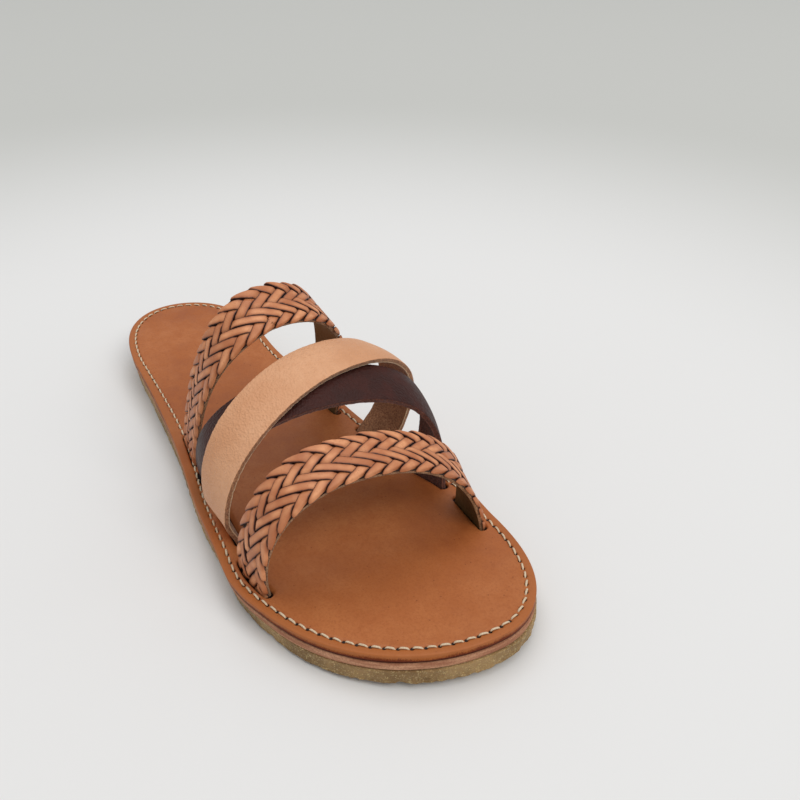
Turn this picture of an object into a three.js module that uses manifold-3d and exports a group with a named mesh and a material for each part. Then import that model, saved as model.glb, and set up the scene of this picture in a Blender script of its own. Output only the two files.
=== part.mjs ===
// Huarache sandal, the right shoe of a pair: a flat slide with four leather straps.
// Millimetres. +X runs to the toe, +Y to the wearer's left (the big-toe side), +Z up.
// The straps lie on sections of the foot form that they were lasted on.

import * as THREE from "three";
import Module from "manifold-3d";
import { mergeVertices } from "three/addons/utils/BufferGeometryUtils.js";

// Plan of the sole
const sandalLength = 270;
const medialReach = 39.7;
const lateralReach = 57.9;
const heelCapLength = 52;
const toeCapMedial = 56.7;
const toeCapLateral = 62;
const toeTipShift = 3.4;

// Layers of the sole
const crepeHeel = 10.5;
const crepeFore = 5.9;
const toeSpring = 2.4;
const crepeProud = 0.5;
const crepeBevel = 1.2;
const wallTuck = 3;
const midsoleThickness = 3;
const midsoleBevel = 0.3;
const insoleThickness = 3.2;
const insoleBevel = 0.7;

// Foot form that the straps were lasted on, measured from the footbed
const instepHeight = 62;
const lastInset = 7;

// Straps
const plainThickness = 2;
const liningThickness = 1.4;
const stripRelief = 1.3;
const stripPitch = 6.8;
const stripShoulder = 0.8;
const stripScallop = 0.5;
const liftRun = 14;
const crossStrapWidth = 18;
const braidWidth = 18.5;

// Room between pieces that touch on the real shoe
const seamGap = 0.3;
const crossingGap = 0.55;
const slotClearance = 0.5;

// Side lines of the sole before its ends are rounded: shares of the length and of each reach
const sideLines = [
  { along: 0, medial: 0.912, lateral: 0.596 },
  { along: 0.135, medial: 0.778, lateral: 0.58 },
  { along: 0.27, medial: 0.675, lateral: 0.632 },
  { along: 0.42, medial: 0.746, lateral: 0.731 },
  { along: 0.57, medial: 0.804, lateral: 0.876 },
  { along: 0.665, medial: 0.914, lateral: 0.946 },
  { along: 0.74, medial: 1, lateral: 1 },
  { along: 0.82, medial: 0.947, lateral: 0.96 },
  { along: 1, medial: 1.017, lateral: 0.943 },
];

// Crepe under the foot: shares of the length, of the heel's extra thickness, of the toe spring
// and of how far the outer wall is trimmed in under the footbed
const soleProfile = [
  { along: 0, wedge: 1, spring: 0, tuck: 0.3 },
  { along: 0.15, wedge: 1, spring: 0, tuck: 0.85 },
  { along: 0.3, wedge: 0.68, spring: 0, tuck: 0.5 },
  { along: 0.45, wedge: 0.32, spring: 0, tuck: 0.4 },
  { along: 0.6, wedge: 0, spring: 0, tuck: 0.45 },
  { along: 0.74, wedge: 0, spring: 0, tuck: 1 },
  { along: 0.87, wedge: 0, spring: 0.27, tuck: 0.3 },
  { along: 1, wedge: 0, spring: 1, tuck: 0 },
];

// Sections of the foot form under the rear, the crossed and the front straps: shares of the
// length, of the instep height and, for the insets of their feet, of the last's inset. The
// ridge is the height over the footbed, the bulges widen the flanks and shift moves the ridge
// to the outer side
const footForms = {
  rear: [
    {
      along: 0.4, ridge: 1.361, lateralBulge: -0.135, medialBulge: 0.096,
      shift: 0.177, lateralInset: 0.997, medialInset: 1.032,
    },
    {
      along: 0.58, ridge: 0.937, lateralBulge: -0.013, medialBulge: 0.105,
      shift: 0.055, lateralInset: 0.999, medialInset: 1.004,
    },
  ],
  cross: [
    {
      along: 0.49, ridge: 0.725, lateralBulge: 0.043, medialBulge: 0.234,
      shift: 0.028, lateralInset: 1.011, medialInset: 0.947,
    },
    {
      along: 0.53, ridge: 0.747, lateralBulge: 0.077, medialBulge: 0.233,
      shift: 0.009, lateralInset: 1.099, medialInset: 0.936,
    },
    {
      along: 0.61, ridge: 0.791, lateralBulge: 0.144, medialBulge: 0.23,
      shift: -0.029, lateralInset: 1.274, medialInset: 0.913,
    },
    {
      along: 0.69, ridge: 0.695, lateralBulge: 0.076, medialBulge: 0.151,
      shift: -0.028, lateralInset: 1.396, medialInset: 1.097,
    },
    {
      along: 0.77, ridge: 0.539, lateralBulge: 0.004, medialBulge: -0.052,
      shift: 0.093, lateralInset: 0.947, medialInset: 1.184,
    },
    {
      along: 0.81, ridge: 0.461, lateralBulge: -0.032, medialBulge: -0.153,
      shift: 0.153, lateralInset: 0.723, medialInset: 1.228,
    },
  ],
  toe: [
    {
      along: 0.7, ridge: 0.712, lateralBulge: -0.056, medialBulge: 0.203,
      shift: 0.155, lateralInset: 1.234, medialInset: 1.163,
    },
    {
      along: 0.88, ridge: 0.524, lateralBulge: 0.045, medialBulge: -0.013,
      shift: 0.168, lateralInset: 1.027, medialInset: 1.254,
    },
  ],
};

// Route of each strap: where its feet stand, how far its crown bows to the toe and how far
// it swings from a straight crossing, all as shares of the length
const routes = {
  instepBraid: { lateral: 0.4573, medial: 0.451, bow: 0.0809, swing: 0.007 },
  brownCross: { lateral: 0.5467, medial: 0.6972, bow: 0.0323, swing: 0.0074 },
  naturalCross: { lateral: 0.6447, medial: 0.5763, bow: 0.0087, swing: 0.0123 },
  toeBraid: { lateral: 0.7493, medial: 0.7969, bow: 0.004, swing: 0.0003 },
};

// Columns of the flat braid from its toe-side edge: shares of the width, and the lean of the
// laces in each as a share of the pitch
const braidColumns = [
  { from: 0, to: 0.2, lean: -0.5 },
  { from: 0.2, to: 0.54, lean: 1 },
  { from: 0.54, to: 0.78, lean: -1 },
  { from: 0.78, to: 1, lean: 0.5 },
];

// Fineness of the faceted solids
const capSteps = 7;
const waistSteps = 24;
const strapSteps = 44;
const acrossSteps = 4;
const tinyStep = 1e-3;

const wasm = await Module();
wasm.setup();

/** Smooth value of one column of a table at a share of the length. */
function readTable(table, column, along) {
  const last = table.length - 1;
  const s = THREE.MathUtils.clamp(along, table[0].along, table[last].along);
  let i = 0;
  while (i < last - 1 && s > table[i + 1].along) i += 1;
  const slope = (k) => {
    const a = table[Math.max(k - 1, 0)];
    const b = table[Math.min(k + 1, last)];
    return (b[column] - a[column]) / (b.along - a.along);
  };
  const [a, b] = [table[i], table[i + 1]];
  const span = b.along - a.along;
  const t = (s - a.along) / span;
  const [t2, t3] = [t * t, t * t * t];
  return (
    a[column] * (2 * t3 - 3 * t2 + 1) +
    b[column] * (3 * t2 - 2 * t3) +
    slope(i) * span * (t3 - 2 * t2 + t) +
    slope(i + 1) * span * (t3 - t2)
  );
}

/** Share of the full half-width where the outline rounds off, a distance in from its end. */
function roundOff(distance, capLength) {
  const u = 1 - THREE.MathUtils.clamp(distance / capLength, 0, 1);
  return Math.sqrt(Math.max(1 - u * u, 0));
}

/** Middle line that the rounded ends close on. */
function axisAt(x) {
  return (toeTipShift * x) / sandalLength;
}

/** Edge of the leather layers at x: side is 1 on the big-toe side and -1 on the outer side. */
function edgeAt(x, side) {
  const medial = side > 0;
  const share = readTable(sideLines, medial ? "medial" : "lateral", x / sandalLength);
  const reach = side * share * (medial ? medialReach : lateralReach);
  const toeCap = medial ? toeCapMedial : toeCapLateral;
  const rounding = roundOff(x, heelCapLength) * roundOff(sandalLength - x, toeCap);
  return axisAt(x) + (reach - axisAt(x)) * rounding;
}

/** Underside of the crepe: flat from heel to ball, then the toe spring. */
function floorAt(x) {
  return toeSpring * readTable(soleProfile, "spring", x / sandalLength);
}

/** Top of the crepe, which carries the leather layers. */
function crepeTopAt(x) {
  const wedge = (crepeHeel - crepeFore) * readTable(soleProfile, "wedge", x / sandalLength);
  return floorAt(x) + crepeFore + wedge;
}

/** Top of the leather midsole. */
function midsoleTopAt(x) {
  return crepeTopAt(x) + midsoleThickness;
}

/** Top of the insole, the footbed. */
function footbedAt(x) {
  return midsoleTopAt(x) + insoleThickness;
}

/** Outer side of a layer at a height: the wall slopes in under the footbed's edge. */
function outerWallAt(x, edge, height) {
  const drop = (footbedAt(x) - height) / (footbedAt(x) - floorAt(x));
  return edge + wallTuck * readTable(soleProfile, "tuck", x / sandalLength) * drop;
}

/** Stations along the sole, close together where the ends round off. */
function soleStations() {
  const toeCap = (toeCapMedial + toeCapLateral) / 2;
  const stations = [];
  for (let i = 0; i < capSteps; i += 1) {
    const angle = ((i + 0.5) / capSteps) * (Math.PI / 2);
    stations.push(heelCapLength * (1 - Math.cos(angle)));
    stations.push(sandalLength - toeCap * (1 - Math.cos(angle)));
  }
  const waist = sandalLength - heelCapLength - toeCap;
  for (let i = 0; i <= waistSteps; i += 1) stations.push(heelCapLength + (waist * i) / waistSteps);
  return stations.sort((a, b) => a - b);
}

/** Turns a closed geometry's faces outwards when its volume comes out negative. */
function facingOut(geometry) {
  const { position } = geometry.attributes;
  const index = geometry.index.array;
  const corner = (k) => new THREE.Vector3().fromBufferAttribute(position, index[k]);
  let volume = 0;
  for (let k = 0; k < index.length; k += 3) volume += corner(k).dot(corner(k + 1).cross(corner(k + 2)));
  if (volume < 0) geometry.setIndex([...index].reverse());
  return geometry;
}

/** Closed body from rings of points, each with as many points as the next. */
function bodyFromRings(rings) {
  const count = rings[0].length;
  const faces = [];
  for (let r = 0; r < rings.length - 1; r += 1) {
    for (let k = 0; k < count; k += 1) {
      const [a, b] = [r * count + k, r * count + ((k + 1) % count)];
      faces.push(a, b, b + count, a, b + count, a + count);
    }
  }
  const lastRing = (rings.length - 1) * count;
  for (let k = 1; k < count - 1; k += 1) {
    faces.push(0, k + 1, k);
    faces.push(lastRing, lastRing + k, lastRing + k + 1);
  }
  const geometry = new THREE.BufferGeometry();
  const positions = rings.flat().flatMap((point) => point.toArray());
  geometry.setAttribute("position", new THREE.Float32BufferAttribute(positions, 3));
  geometry.setIndex(faces);
  return facingOut(geometry);
}

/** Solid of a closed three.js geometry. */
function toSolid(geometry) {
  const merged = mergeVertices(geometry);
  const vertProperties = new Float32Array(merged.attributes.position.array);
  const triVerts = new Uint32Array(merged.index.array);
  return new wasm.Manifold(new wasm.Mesh({ numProp: 3, vertProperties, triVerts }));
}

/** three.js geometry of a solid. */
function toGeometry(solid) {
  const { vertProperties, triVerts } = solid.getMesh();
  const geometry = new THREE.BufferGeometry();
  geometry.setAttribute("position", new THREE.BufferAttribute(vertProperties, 3));
  geometry.setIndex(new THREE.BufferAttribute(triVerts, 1));
  return geometry;
}

/** One layer of the sole between two surfaces, its edge moved out by grow and its rims bevelled. */
function soleLayer({ bottom, top, grow, bottomBevel, topBevel }) {
  const rings = soleStations().map((x) => {
    const [low, high] = [bottom(x), top(x)];
    const placed = x + ((2 * x) / sandalLength - 1) * grow;
    const [outer, inner] = [edgeAt(x, -1) - grow, edgeAt(x, 1) + grow];
    const bevelShare = Math.min(1, (inner - outer) / (2 * (bottomBevel + topBevel)));
    const [lowBevel, highBevel] = [bottomBevel * bevelShare, topBevel * bevelShare];
    const wall = (inward, height) => [outerWallAt(x, outer + inward, height), height];
    return [
      wall(lowBevel, low),
      wall(0, low + bottomBevel),
      wall(0, high - topBevel),
      wall(highBevel, high),
      [inner - highBevel, high],
      [inner, high - topBevel],
      [inner, low + bottomBevel],
      [inner - lowBevel, low],
    ].map(([y, z]) => new THREE.Vector3(placed, y, z));
  });
  return bodyFromRings(rings);
}

/** Everything under the seam between midsole and insole, to trim the feet of the straps. */
function underSlots() {
  const wide = 2 * lateralReach;
  const rings = soleStations().map((x) => {
    const high = midsoleTopAt(x);
    const corners = [[-wide, -sandalLength], [-wide, high], [wide, high], [wide, -sandalLength]];
    return corners.map(([y, z]) => new THREE.Vector3(x, y, z));
  });
  return toSolid(bodyFromRings(rings));
}

/** Point of the foot form at x and an angle round its section, 0 at the outer foot of a strap. */
function lastPoint(form, x, angle) {
  if (angle < 0 || angle > Math.PI) {
    const end = angle < 0 ? 0 : Math.PI;
    const inside = angle < 0 ? tinyStep : Math.PI - tinyStep;
    const foot = lastPoint(form, x, end);
    const slope = lastPoint(form, x, inside).sub(foot).divideScalar(inside - end);
    return foot.addScaledVector(slope, angle - end);
  }
  const share = (column) => readTable(form, column, x / sandalLength);
  const outer = edgeAt(x, -1) + lastInset * share("lateralInset");
  const inner = edgeAt(x, 1) - lastInset * share("medialInset");
  const rise = Math.sin(angle);
  const bulge = instepHeight * share(Math.cos(angle) > 0 ? "lateralBulge" : "medialBulge");
  const level = (outer + inner) / 2 - ((inner - outer) / 2) * Math.cos(angle);
  const y = level - bulge * Math.sin(2 * angle) - instepHeight * share("shift") * rise;
  return new THREE.Vector3(x, y, footbedAt(x) + instepHeight * share("ridge") * rise);
}

/** Directions of the foot form's surface at a point: along x, round the section and outwards. */
function lastFrame(form, x, angle) {
  const alongX = lastPoint(form, x + tinyStep, angle).sub(lastPoint(form, x - tinyStep, angle));
  const around = lastPoint(form, x, angle + tinyStep).sub(lastPoint(form, x, angle - tinyStep));
  alongX.divideScalar(2 * tinyStep);
  around.divideScalar(2 * tinyStep);
  const outward = new THREE.Vector3().crossVectors(alongX, around).normalize();
  return { alongX, around, outward };
}

/** Middle of a strap's route at an angle round the section. */
function routeAt(route, angle) {
  const held = THREE.MathUtils.clamp(angle, 0, Math.PI);
  const straight = route.lateral + ((route.medial - route.lateral) * angle) / Math.PI;
  return sandalLength * (straight + route.bow * Math.sin(held) + route.swing * Math.sin(2 * held));
}

/** How far a strap stands off the foot form at an angle, where it passes over another. */
function liftAt(strap, angle) {
  const fromFoot = Math.min(angle, Math.PI - angle) * instepHeight;
  return strap.lift * THREE.MathUtils.smoothstep(fromFoot, 0, liftRun);
}

/** Point of a strap: offset is across it from its middle, to the toe, and height is off its back. */
function strapPoint(strap, angle, offset, height) {
  const x = routeAt(strap.route, angle);
  const { alongX, around } = lastFrame(strap.form, x, angle);
  const ahead = routeAt(strap.route, angle + tinyStep);
  const behind = routeAt(strap.route, angle - tinyStep);
  const run = around.clone().addScaledVector(alongX, (ahead - behind) / (2 * tinyStep)).normalize();
  const across = alongX.clone().addScaledVector(run, -alongX.dot(run)).normalize();
  const [xx, aa, xa] = [alongX.lengthSq(), around.lengthSq(), alongX.dot(around)];
  const [px, pa] = [across.dot(alongX), across.dot(around)];
  const spread = xx * aa - xa * xa;
  const movedX = x + (offset * (px * aa - pa * xa)) / spread;
  const movedAngle = angle + (offset * (pa * xx - px * xa)) / spread;
  const { outward } = lastFrame(strap.form, movedX, movedAngle);
  const back = lastPoint(strap.form, movedX, movedAngle);
  return back.addScaledVector(outward, height + liftAt(strap, angle));
}

/** Angles round the section from below one slot to below the other. */
function strapAngles(strap) {
  const tail = (insoleThickness + strap.width) / instepHeight;
  return { first: -tail, last: Math.PI + tail };
}

/** Offsets across a strap of this half-width, from its heel side to its toe side. */
function acrossOffsets(half) {
  return Array.from({ length: acrossSteps + 1 }, (_, j) => half * ((2 * j) / acrossSteps - 1));
}

/** Wall of a strap between two heights off its back, its edges moved out by grow. */
function strapWall(strap, { inner, outer, grow }) {
  const { first, last } = strapAngles(strap);
  const offsets = acrossOffsets(strap.width / 2 + grow);
  const rings = [];
  for (let i = 0; i <= strapSteps; i += 1) {
    const angle = first + ((last - first) * i) / strapSteps;
    const back = offsets.map((offset) => strapPoint(strap, angle, offset, inner));
    const face = offsets.map((offset) => strapPoint(strap, angle, offset, outer));
    rings.push([...back, ...face.reverse()]);
  }
  return toSolid(bodyFromRings(rings));
}

/** Distances along a strap's middle against the angle, to space the braid's laces evenly. */
function arcTable(strap) {
  const { first, last } = strapAngles(strap);
  const steps = 4 * strapSteps;
  const table = [{ angle: first, distance: 0 }];
  let before = strapPoint(strap, first, 0, liningThickness);
  for (let i = 1; i <= steps; i += 1) {
    const angle = first + ((last - first) * i) / steps;
    const here = strapPoint(strap, angle, 0, liningThickness);
    table.push({ angle, distance: table[i - 1].distance + here.distanceTo(before) });
    before = here;
  }
  return table;
}

/** Angle round the section at a distance along a strap. */
function angleAt(table, distance) {
  const found = table.findIndex((row) => row.distance > distance);
  const i = found < 1 ? table.length - 1 : found;
  const [a, b] = [table[i - 1], table[i]];
  return a.angle + ((b.angle - a.angle) * (distance - a.distance)) / (b.distance - a.distance);
}

/** Ring round the braid at a distance along it, its face following the lean of the laces. */
function braidRing(strap, table, distance, row) {
  const high = liningThickness + stripRelief;
  const at = (across, along, height) => {
    const offset = strap.width / 2 - across;
    return strapPoint(strap, angleAt(table, distance + along * stripPitch), offset, height);
  };
  const face = [];
  let run = 0;
  braidColumns.forEach(({ from, to, lean }, k) => {
    const raised = (row + k) % 2 === 1;
    const [near, far] = [from * strap.width, to * strap.width];
    const shoulder = stripShoulder / (far - near);
    face.push(at(k === 0 && raised ? near - stripScallop : near, run, liningThickness));
    face.push(at(near + stripShoulder, run + lean * shoulder, raised ? high : liningThickness));
    face.push(at(far - stripShoulder, run + lean * (1 - shoulder), raised ? high : liningThickness));
    run += lean;
  });
  const lastRaised = (row + braidColumns.length - 1) % 2 === 1;
  face.push(at(lastRaised ? strap.width + stripScallop : strap.width, run, liningThickness));
  const back = acrossOffsets(strap.width / 2).map((offset) => at(strap.width / 2 - offset, 0, 0));
  return [...face, ...back];
}

/** Plain ring that closes the end of a braid, its face as finely divided as the others. */
function braidEnd(strap, angle, faceCount) {
  const half = strap.width / 2;
  const face = Array.from({ length: faceCount }, (_, k) =>
    strapPoint(strap, angle, half * (1 - (2 * k) / (faceCount - 1)), liningThickness),
  );
  return [...face, ...acrossOffsets(half).map((offset) => strapPoint(strap, angle, offset, 0))];
}

/** Braided strap: one wall on its lining, with the laces of a flat braid raised on it. */
function braidedStrap(strap) {
  const table = arcTable(strap);
  const whole = table[table.length - 1].distance;
  const rows = Math.floor((2 * whole) / stripPitch) - 2;
  const margin = (whole - (rows * stripPitch) / 2) / 2;
  const rings = [];
  for (let row = 0; row <= rows; row += 1) {
    rings.push(braidRing(strap, table, margin + (row * stripPitch) / 2, row));
  }
  const { first, last } = strapAngles(strap);
  const reach = stripPitch / instepHeight;
  const faceCount = rings[0].length - (acrossSteps + 1);
  rings.unshift(braidEnd(strap, first - reach, faceCount));
  rings.push(braidEnd(strap, last + reach, faceCount));
  return toSolid(bodyFromRings(rings));
}

/** Plain strap: one cut band of leather. */
function plainStrap(strap) {
  return strapWall(strap, { inner: 0, outer: plainThickness, grow: 0 });
}

/** Room that a strap's foot takes in the insole, with its clearance. */
function slotCutter(strap) {
  return strapWall(strap, {
    inner: -slotClearance,
    outer: strap.thickness + slotClearance,
    grow: strap.overhang + slotClearance,
  });
}

/** Named, coloured mesh of one piece. */
function piece(name, geometry, color, roughness) {
  const mesh = new THREE.Mesh(geometry, new THREE.MeshStandardMaterial({ color, roughness, metalness: 0 }));
  mesh.name = name;
  return mesh;
}

const braid = {
  make: braidedStrap,
  width: braidWidth,
  thickness: liningThickness + stripRelief,
  overhang: stripScallop,
  lift: 0,
};
const plain = { make: plainStrap, width: crossStrapWidth, thickness: plainThickness, overhang: 0, lift: 0 };

const straps = [
  {
    ...braid,
    name: "instep_braid_strap",
    form: footForms.rear,
    route: routes.instepBraid,
    color: "#a8643f",
  },
  {
    ...plain,
    name: "brown_cross_strap",
    form: footForms.cross,
    route: routes.brownCross,
    color: "#4a2c2a",
  },
  {
    ...plain,
    name: "natural_cross_strap",
    form: footForms.cross,
    route: routes.naturalCross,
    lift: plainThickness + crossingGap,
    color: "#d8a47c",
  },
  {
    ...braid,
    name: "toe_braid_strap",
    form: footForms.toe,
    route: routes.toeBraid,
    color: "#a8643f",
  },
];

const outsole = soleLayer({
  bottom: floorAt,
  top: (x) => crepeTopAt(x) - seamGap,
  grow: crepeProud,
  bottomBevel: crepeBevel,
  topBevel: midsoleBevel,
});
const midsole = soleLayer({
  bottom: crepeTopAt,
  top: (x) => midsoleTopAt(x) - seamGap,
  grow: 0,
  bottomBevel: midsoleBevel,
  topBevel: midsoleBevel,
});
const insoleBlank = soleLayer({
  bottom: midsoleTopAt,
  top: footbedAt,
  grow: 0,
  bottomBevel: midsoleBevel,
  topBevel: insoleBevel,
});
const insole = straps.reduce((leather, strap) => leather.subtract(slotCutter(strap)), toSolid(insoleBlank));
const underside = underSlots();

const group = new THREE.Group();
group.name = "huarache_sandal_right";
group.add(piece("outsole", outsole, "#9a8550", 0.85));
group.add(piece("midsole", midsole, "#c08a70", 0.75));
group.add(piece("insole", toGeometry(insole), "#a5673f", 0.5));
straps.forEach((strap) => {
  const trimmed = strap.make(strap).subtract(underside);
  group.add(piece(strap.name, toGeometry(trimmed), strap.color, 0.55));
});

// The origin stands on the floor under the middle of the whole sandal
const box = new THREE.Box3().setFromObject(group);
const middle = box.getCenter(new THREE.Vector3());
group.position.set(-middle.x, -middle.y, -box.min.z);

export default group;
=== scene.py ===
"""Leather huarache sandal, right shoe, on a pale studio floor.

Lengths in the forms below are millimetres in the sandal's own frame: x from the back of the
heel to the toe, y to the big-toe side, z up from the floor. Meshes are made in metres in the
frame's own place.
"""

import functools
import logging
import math
from collections.abc import Callable, Sequence
from dataclasses import dataclass, field
from enum import Enum

import bpy
import numpy as np
from mathutils import Matrix, Vector, noise


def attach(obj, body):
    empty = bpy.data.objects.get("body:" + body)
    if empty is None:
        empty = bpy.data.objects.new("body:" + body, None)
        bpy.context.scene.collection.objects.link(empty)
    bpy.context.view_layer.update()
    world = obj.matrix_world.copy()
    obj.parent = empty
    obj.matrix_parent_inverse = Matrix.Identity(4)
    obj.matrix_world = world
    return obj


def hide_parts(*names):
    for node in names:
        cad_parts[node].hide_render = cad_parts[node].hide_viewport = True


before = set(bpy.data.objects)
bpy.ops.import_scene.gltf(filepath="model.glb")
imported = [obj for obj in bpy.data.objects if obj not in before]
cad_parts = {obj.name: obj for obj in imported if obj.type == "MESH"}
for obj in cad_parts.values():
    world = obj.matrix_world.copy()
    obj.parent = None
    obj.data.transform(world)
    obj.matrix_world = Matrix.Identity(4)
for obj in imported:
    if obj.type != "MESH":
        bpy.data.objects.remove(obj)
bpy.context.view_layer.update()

logging.basicConfig(level=logging.INFO, format="%(message)s")
log = logging.getLogger("sandal")

MM = 0.001
TINY = 1e-3
CLOSED = 100.0  # inset at which the rings of a sole layer meet its middle line
SMOOTH = {"interpolation_type": "SMOOTHSTEP"}

Array = np.ndarray
Faces = list[tuple[int, ...]]
Material = bpy.types.Material
Node = bpy.types.Node
Piece = bpy.types.Object
Surface = Callable[[Array], Array]
Ripples = tuple[tuple[float, float, float], ...]


class Side(Enum):
    """Sides of the sandal: the big-toe side and the outer side."""

    MEDIAL = 1
    LATERAL = -1


def linear(hex_colour: str) -> tuple[float, float, float, float]:
    """Linear colour of an sRGB hex colour.

    Args:
        hex_colour: the colour as six hex digits after a hash.

    Returns:
        Red, green, blue and alpha.
    """
    digits = hex_colour.lstrip("#")
    channels = [int(digits[i : i + 2], 16) / 255 for i in (0, 2, 4)]
    r, g, b = (c / 12.92 if c <= 0.04045 else ((c + 0.055) / 1.055) ** 2.4 for c in channels)
    return (r, g, b, 1.0)


def smoothstep(low: float, high: float, value: Array) -> Array:
    """Smooth step from 0 at low to 1 at high."""
    t = np.clip((value - low) / (high - low), 0, 1)
    return t * t * (3 - 2 * t)


def read_table(stations: Array, values: Array, at: Array) -> Array:
    """Smooth curve through a table's rows, read at some stations.

    Args:
        stations: the table's stations, rising.
        values: the table's value at each station.
        at: where to read the curve. Beyond the table its end values hold.

    Returns:
        The curve's value at each place.
    """
    s = np.clip(at, stations[0], stations[-1])
    last = len(stations) - 1
    before = np.maximum(np.arange(last + 1) - 1, 0)
    after = np.minimum(np.arange(last + 1) + 1, last)
    slope = (values[after] - values[before]) / (stations[after] - stations[before])
    i = np.clip(np.searchsorted(stations, s, side="left") - 1, 0, last - 1)
    span = stations[i + 1] - stations[i]
    t = (s - stations[i]) / span
    return (
        values[i] * (2 * t**3 - 3 * t**2 + 1)
        + values[i + 1] * (3 * t**2 - 2 * t**3)
        + slope[i] * span * (t**3 - 2 * t**2 + t)
        + slope[i + 1] * span * (t**3 - t**2)
    )


@dataclass(frozen=True)
class SoleForm:
    """Outline and layers of the sole.

    A row of side_lines is a station along the sole and the reach of its big-toe side and outer
    side there. A row of profile is a station, how much of the heel's wedge and of the toe spring
    there is, and how far the outer wall tucks in. All are shares of the sizes above them.
    """

    length: float = 270.0
    medial_reach: float = 39.7
    lateral_reach: float = 57.9
    heel_cap: float = 52.0
    toe_cap_medial: float = 56.7
    toe_cap_lateral: float = 62.0
    toe_tip_shift: float = 3.4
    crepe_heel: float = 10.5
    crepe_fore: float = 5.9
    crepe_proud: float = 0.5
    toe_spring: float = 2.4
    midsole: float = 3.0
    insole: float = 3.2
    origin: tuple[float, float, float] = (134.977, -8.675, -0.048)
    wall_tuck: float = 3.0
    side_lines: tuple[tuple[float, float, float], ...] = (
        (0, 0.912, 0.596),
        (0.135, 0.778, 0.58),
        (0.27, 0.675, 0.632),
        (0.42, 0.746, 0.731),
        (0.57, 0.804, 0.876),
        (0.665, 0.914, 0.946),
        (0.74, 1, 1),
        (0.82, 0.947, 0.96),
        (1, 1.017, 0.943),
    )
    profile: tuple[tuple[float, float, float, float], ...] = (
        (0, 1, 0, 0.3),
        (0.15, 1, 0, 0.85),
        (0.3, 0.68, 0, 0.5),
        (0.45, 0.32, 0, 0.4),
        (0.6, 0, 0, 0.45),
        (0.74, 0, 0, 1),
        (0.87, 0, 0.27, 0.3),
        (1, 0, 1, 0),
    )

    def _column(self, table: tuple, column: int, x: Array) -> Array:
        """Smooth value of one column of a table at x."""
        rows = np.array(table, dtype=float)
        return read_table(rows[:, 0], rows[:, column], np.asarray(x, dtype=float) / self.length)

    def edge(self, x: Array, side: Side) -> Array:
        """Edge of the leather layers.

        Args:
            x: where along the sole.
            side: which side's edge.

        Returns:
            y of the edge at each x.
        """
        medial = side is Side.MEDIAL
        reach = self.medial_reach if medial else -self.lateral_reach
        reach = reach * self._column(self.side_lines, 1 if medial else 2, x)
        cap = self.toe_cap_medial if medial else self.toe_cap_lateral
        axis = self.toe_tip_shift * x / self.length
        rounding = np.ones_like(axis)
        for distance, length in ((x, self.heel_cap), (self.length - x, cap)):
            u = 1 - np.clip(distance / length, 0, 1)
            rounding = rounding * np.sqrt(np.maximum(1 - u * u, 0))
        return axis + (reach - axis) * rounding

    def floor(self, x: Array) -> Array:
        """Underside of the crepe."""
        return self.toe_spring * self._column(self.profile, 2, x)

    def crepe_top(self, x: Array) -> Array:
        """Top of the crepe."""
        wedge = (self.crepe_heel - self.crepe_fore) * self._column(self.profile, 1, x)
        return self.floor(x) + self.crepe_fore + wedge

    def midsole_top(self, x: Array) -> Array:
        """Top of the leather midsole."""
        return self.crepe_top(x) + self.midsole

    def footbed(self, x: Array) -> Array:
        """Top of the insole."""
        return self.midsole_top(x) + self.insole

    def tuck(self, x: Array, height: Array) -> Array:
        """How far the outer wall lies in under the footbed's edge.

        Args:
            x: where along the sole.
            height: where up the wall.

        Returns:
            The distance at each place.
        """
        low = self.floor(x)
        share = (self.footbed(x) - height) / (self.footbed(x) - low)
        return self.wall_tuck * self._column(self.profile, 3, x) * share

    def rim(self, count: int) -> tuple[Array, Array]:
        """Outline as a closed run of points, the same number on each side.

        Args:
            count: points all round, an even number. The first is the heel's end.

        Returns:
            The points as (count, 2) and their outward normals.
        """
        fine = (1 - np.cos(np.linspace(0, math.pi, 6 * count))) / 2 * self.length
        halves = []
        for side in (Side.MEDIAL, Side.LATERAL):
            line = np.stack([fine, self.edge(fine, side)], -1)
            run = np.concatenate([[0], np.cumsum(np.linalg.norm(np.diff(line, axis=0), axis=1))])
            even = np.linspace(0, run[-1], count // 2 + 1)
            halves.append(np.stack([np.interp(even, run, line[:, k]) for k in (0, 1)], -1))
        medial, lateral = halves
        loop = np.concatenate([medial, lateral[-2:0:-1]])
        tangent = np.roll(loop, -1, axis=0) - np.roll(loop, 1, axis=0)
        for _ in range(3):
            tangent = (np.roll(tangent, -1, axis=0) + tangent + np.roll(tangent, 1, axis=0)) / 3
        tangent /= np.linalg.norm(tangent, axis=1)[:, None]
        return loop, np.stack([-tangent[:, 1], tangent[:, 0]], -1)

    def place(self, points: Array) -> Array:
        """Points of the sandal's own frame, in metres in the frame's own place."""
        return (np.asarray(points, dtype=float) - np.array(self.origin)) * MM


@dataclass(frozen=True)
class Route:
    """Way of one strap over the foot form.

    Its feet, the bow of its middle and the swing of its two halves are shares of the sole's
    length. The lift is how far it is held off the form, over another strap.
    """

    lateral: float
    medial: float
    bow: float
    swing: float
    sections: tuple[tuple[float, ...], ...]
    lift: float = 0.0


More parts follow.
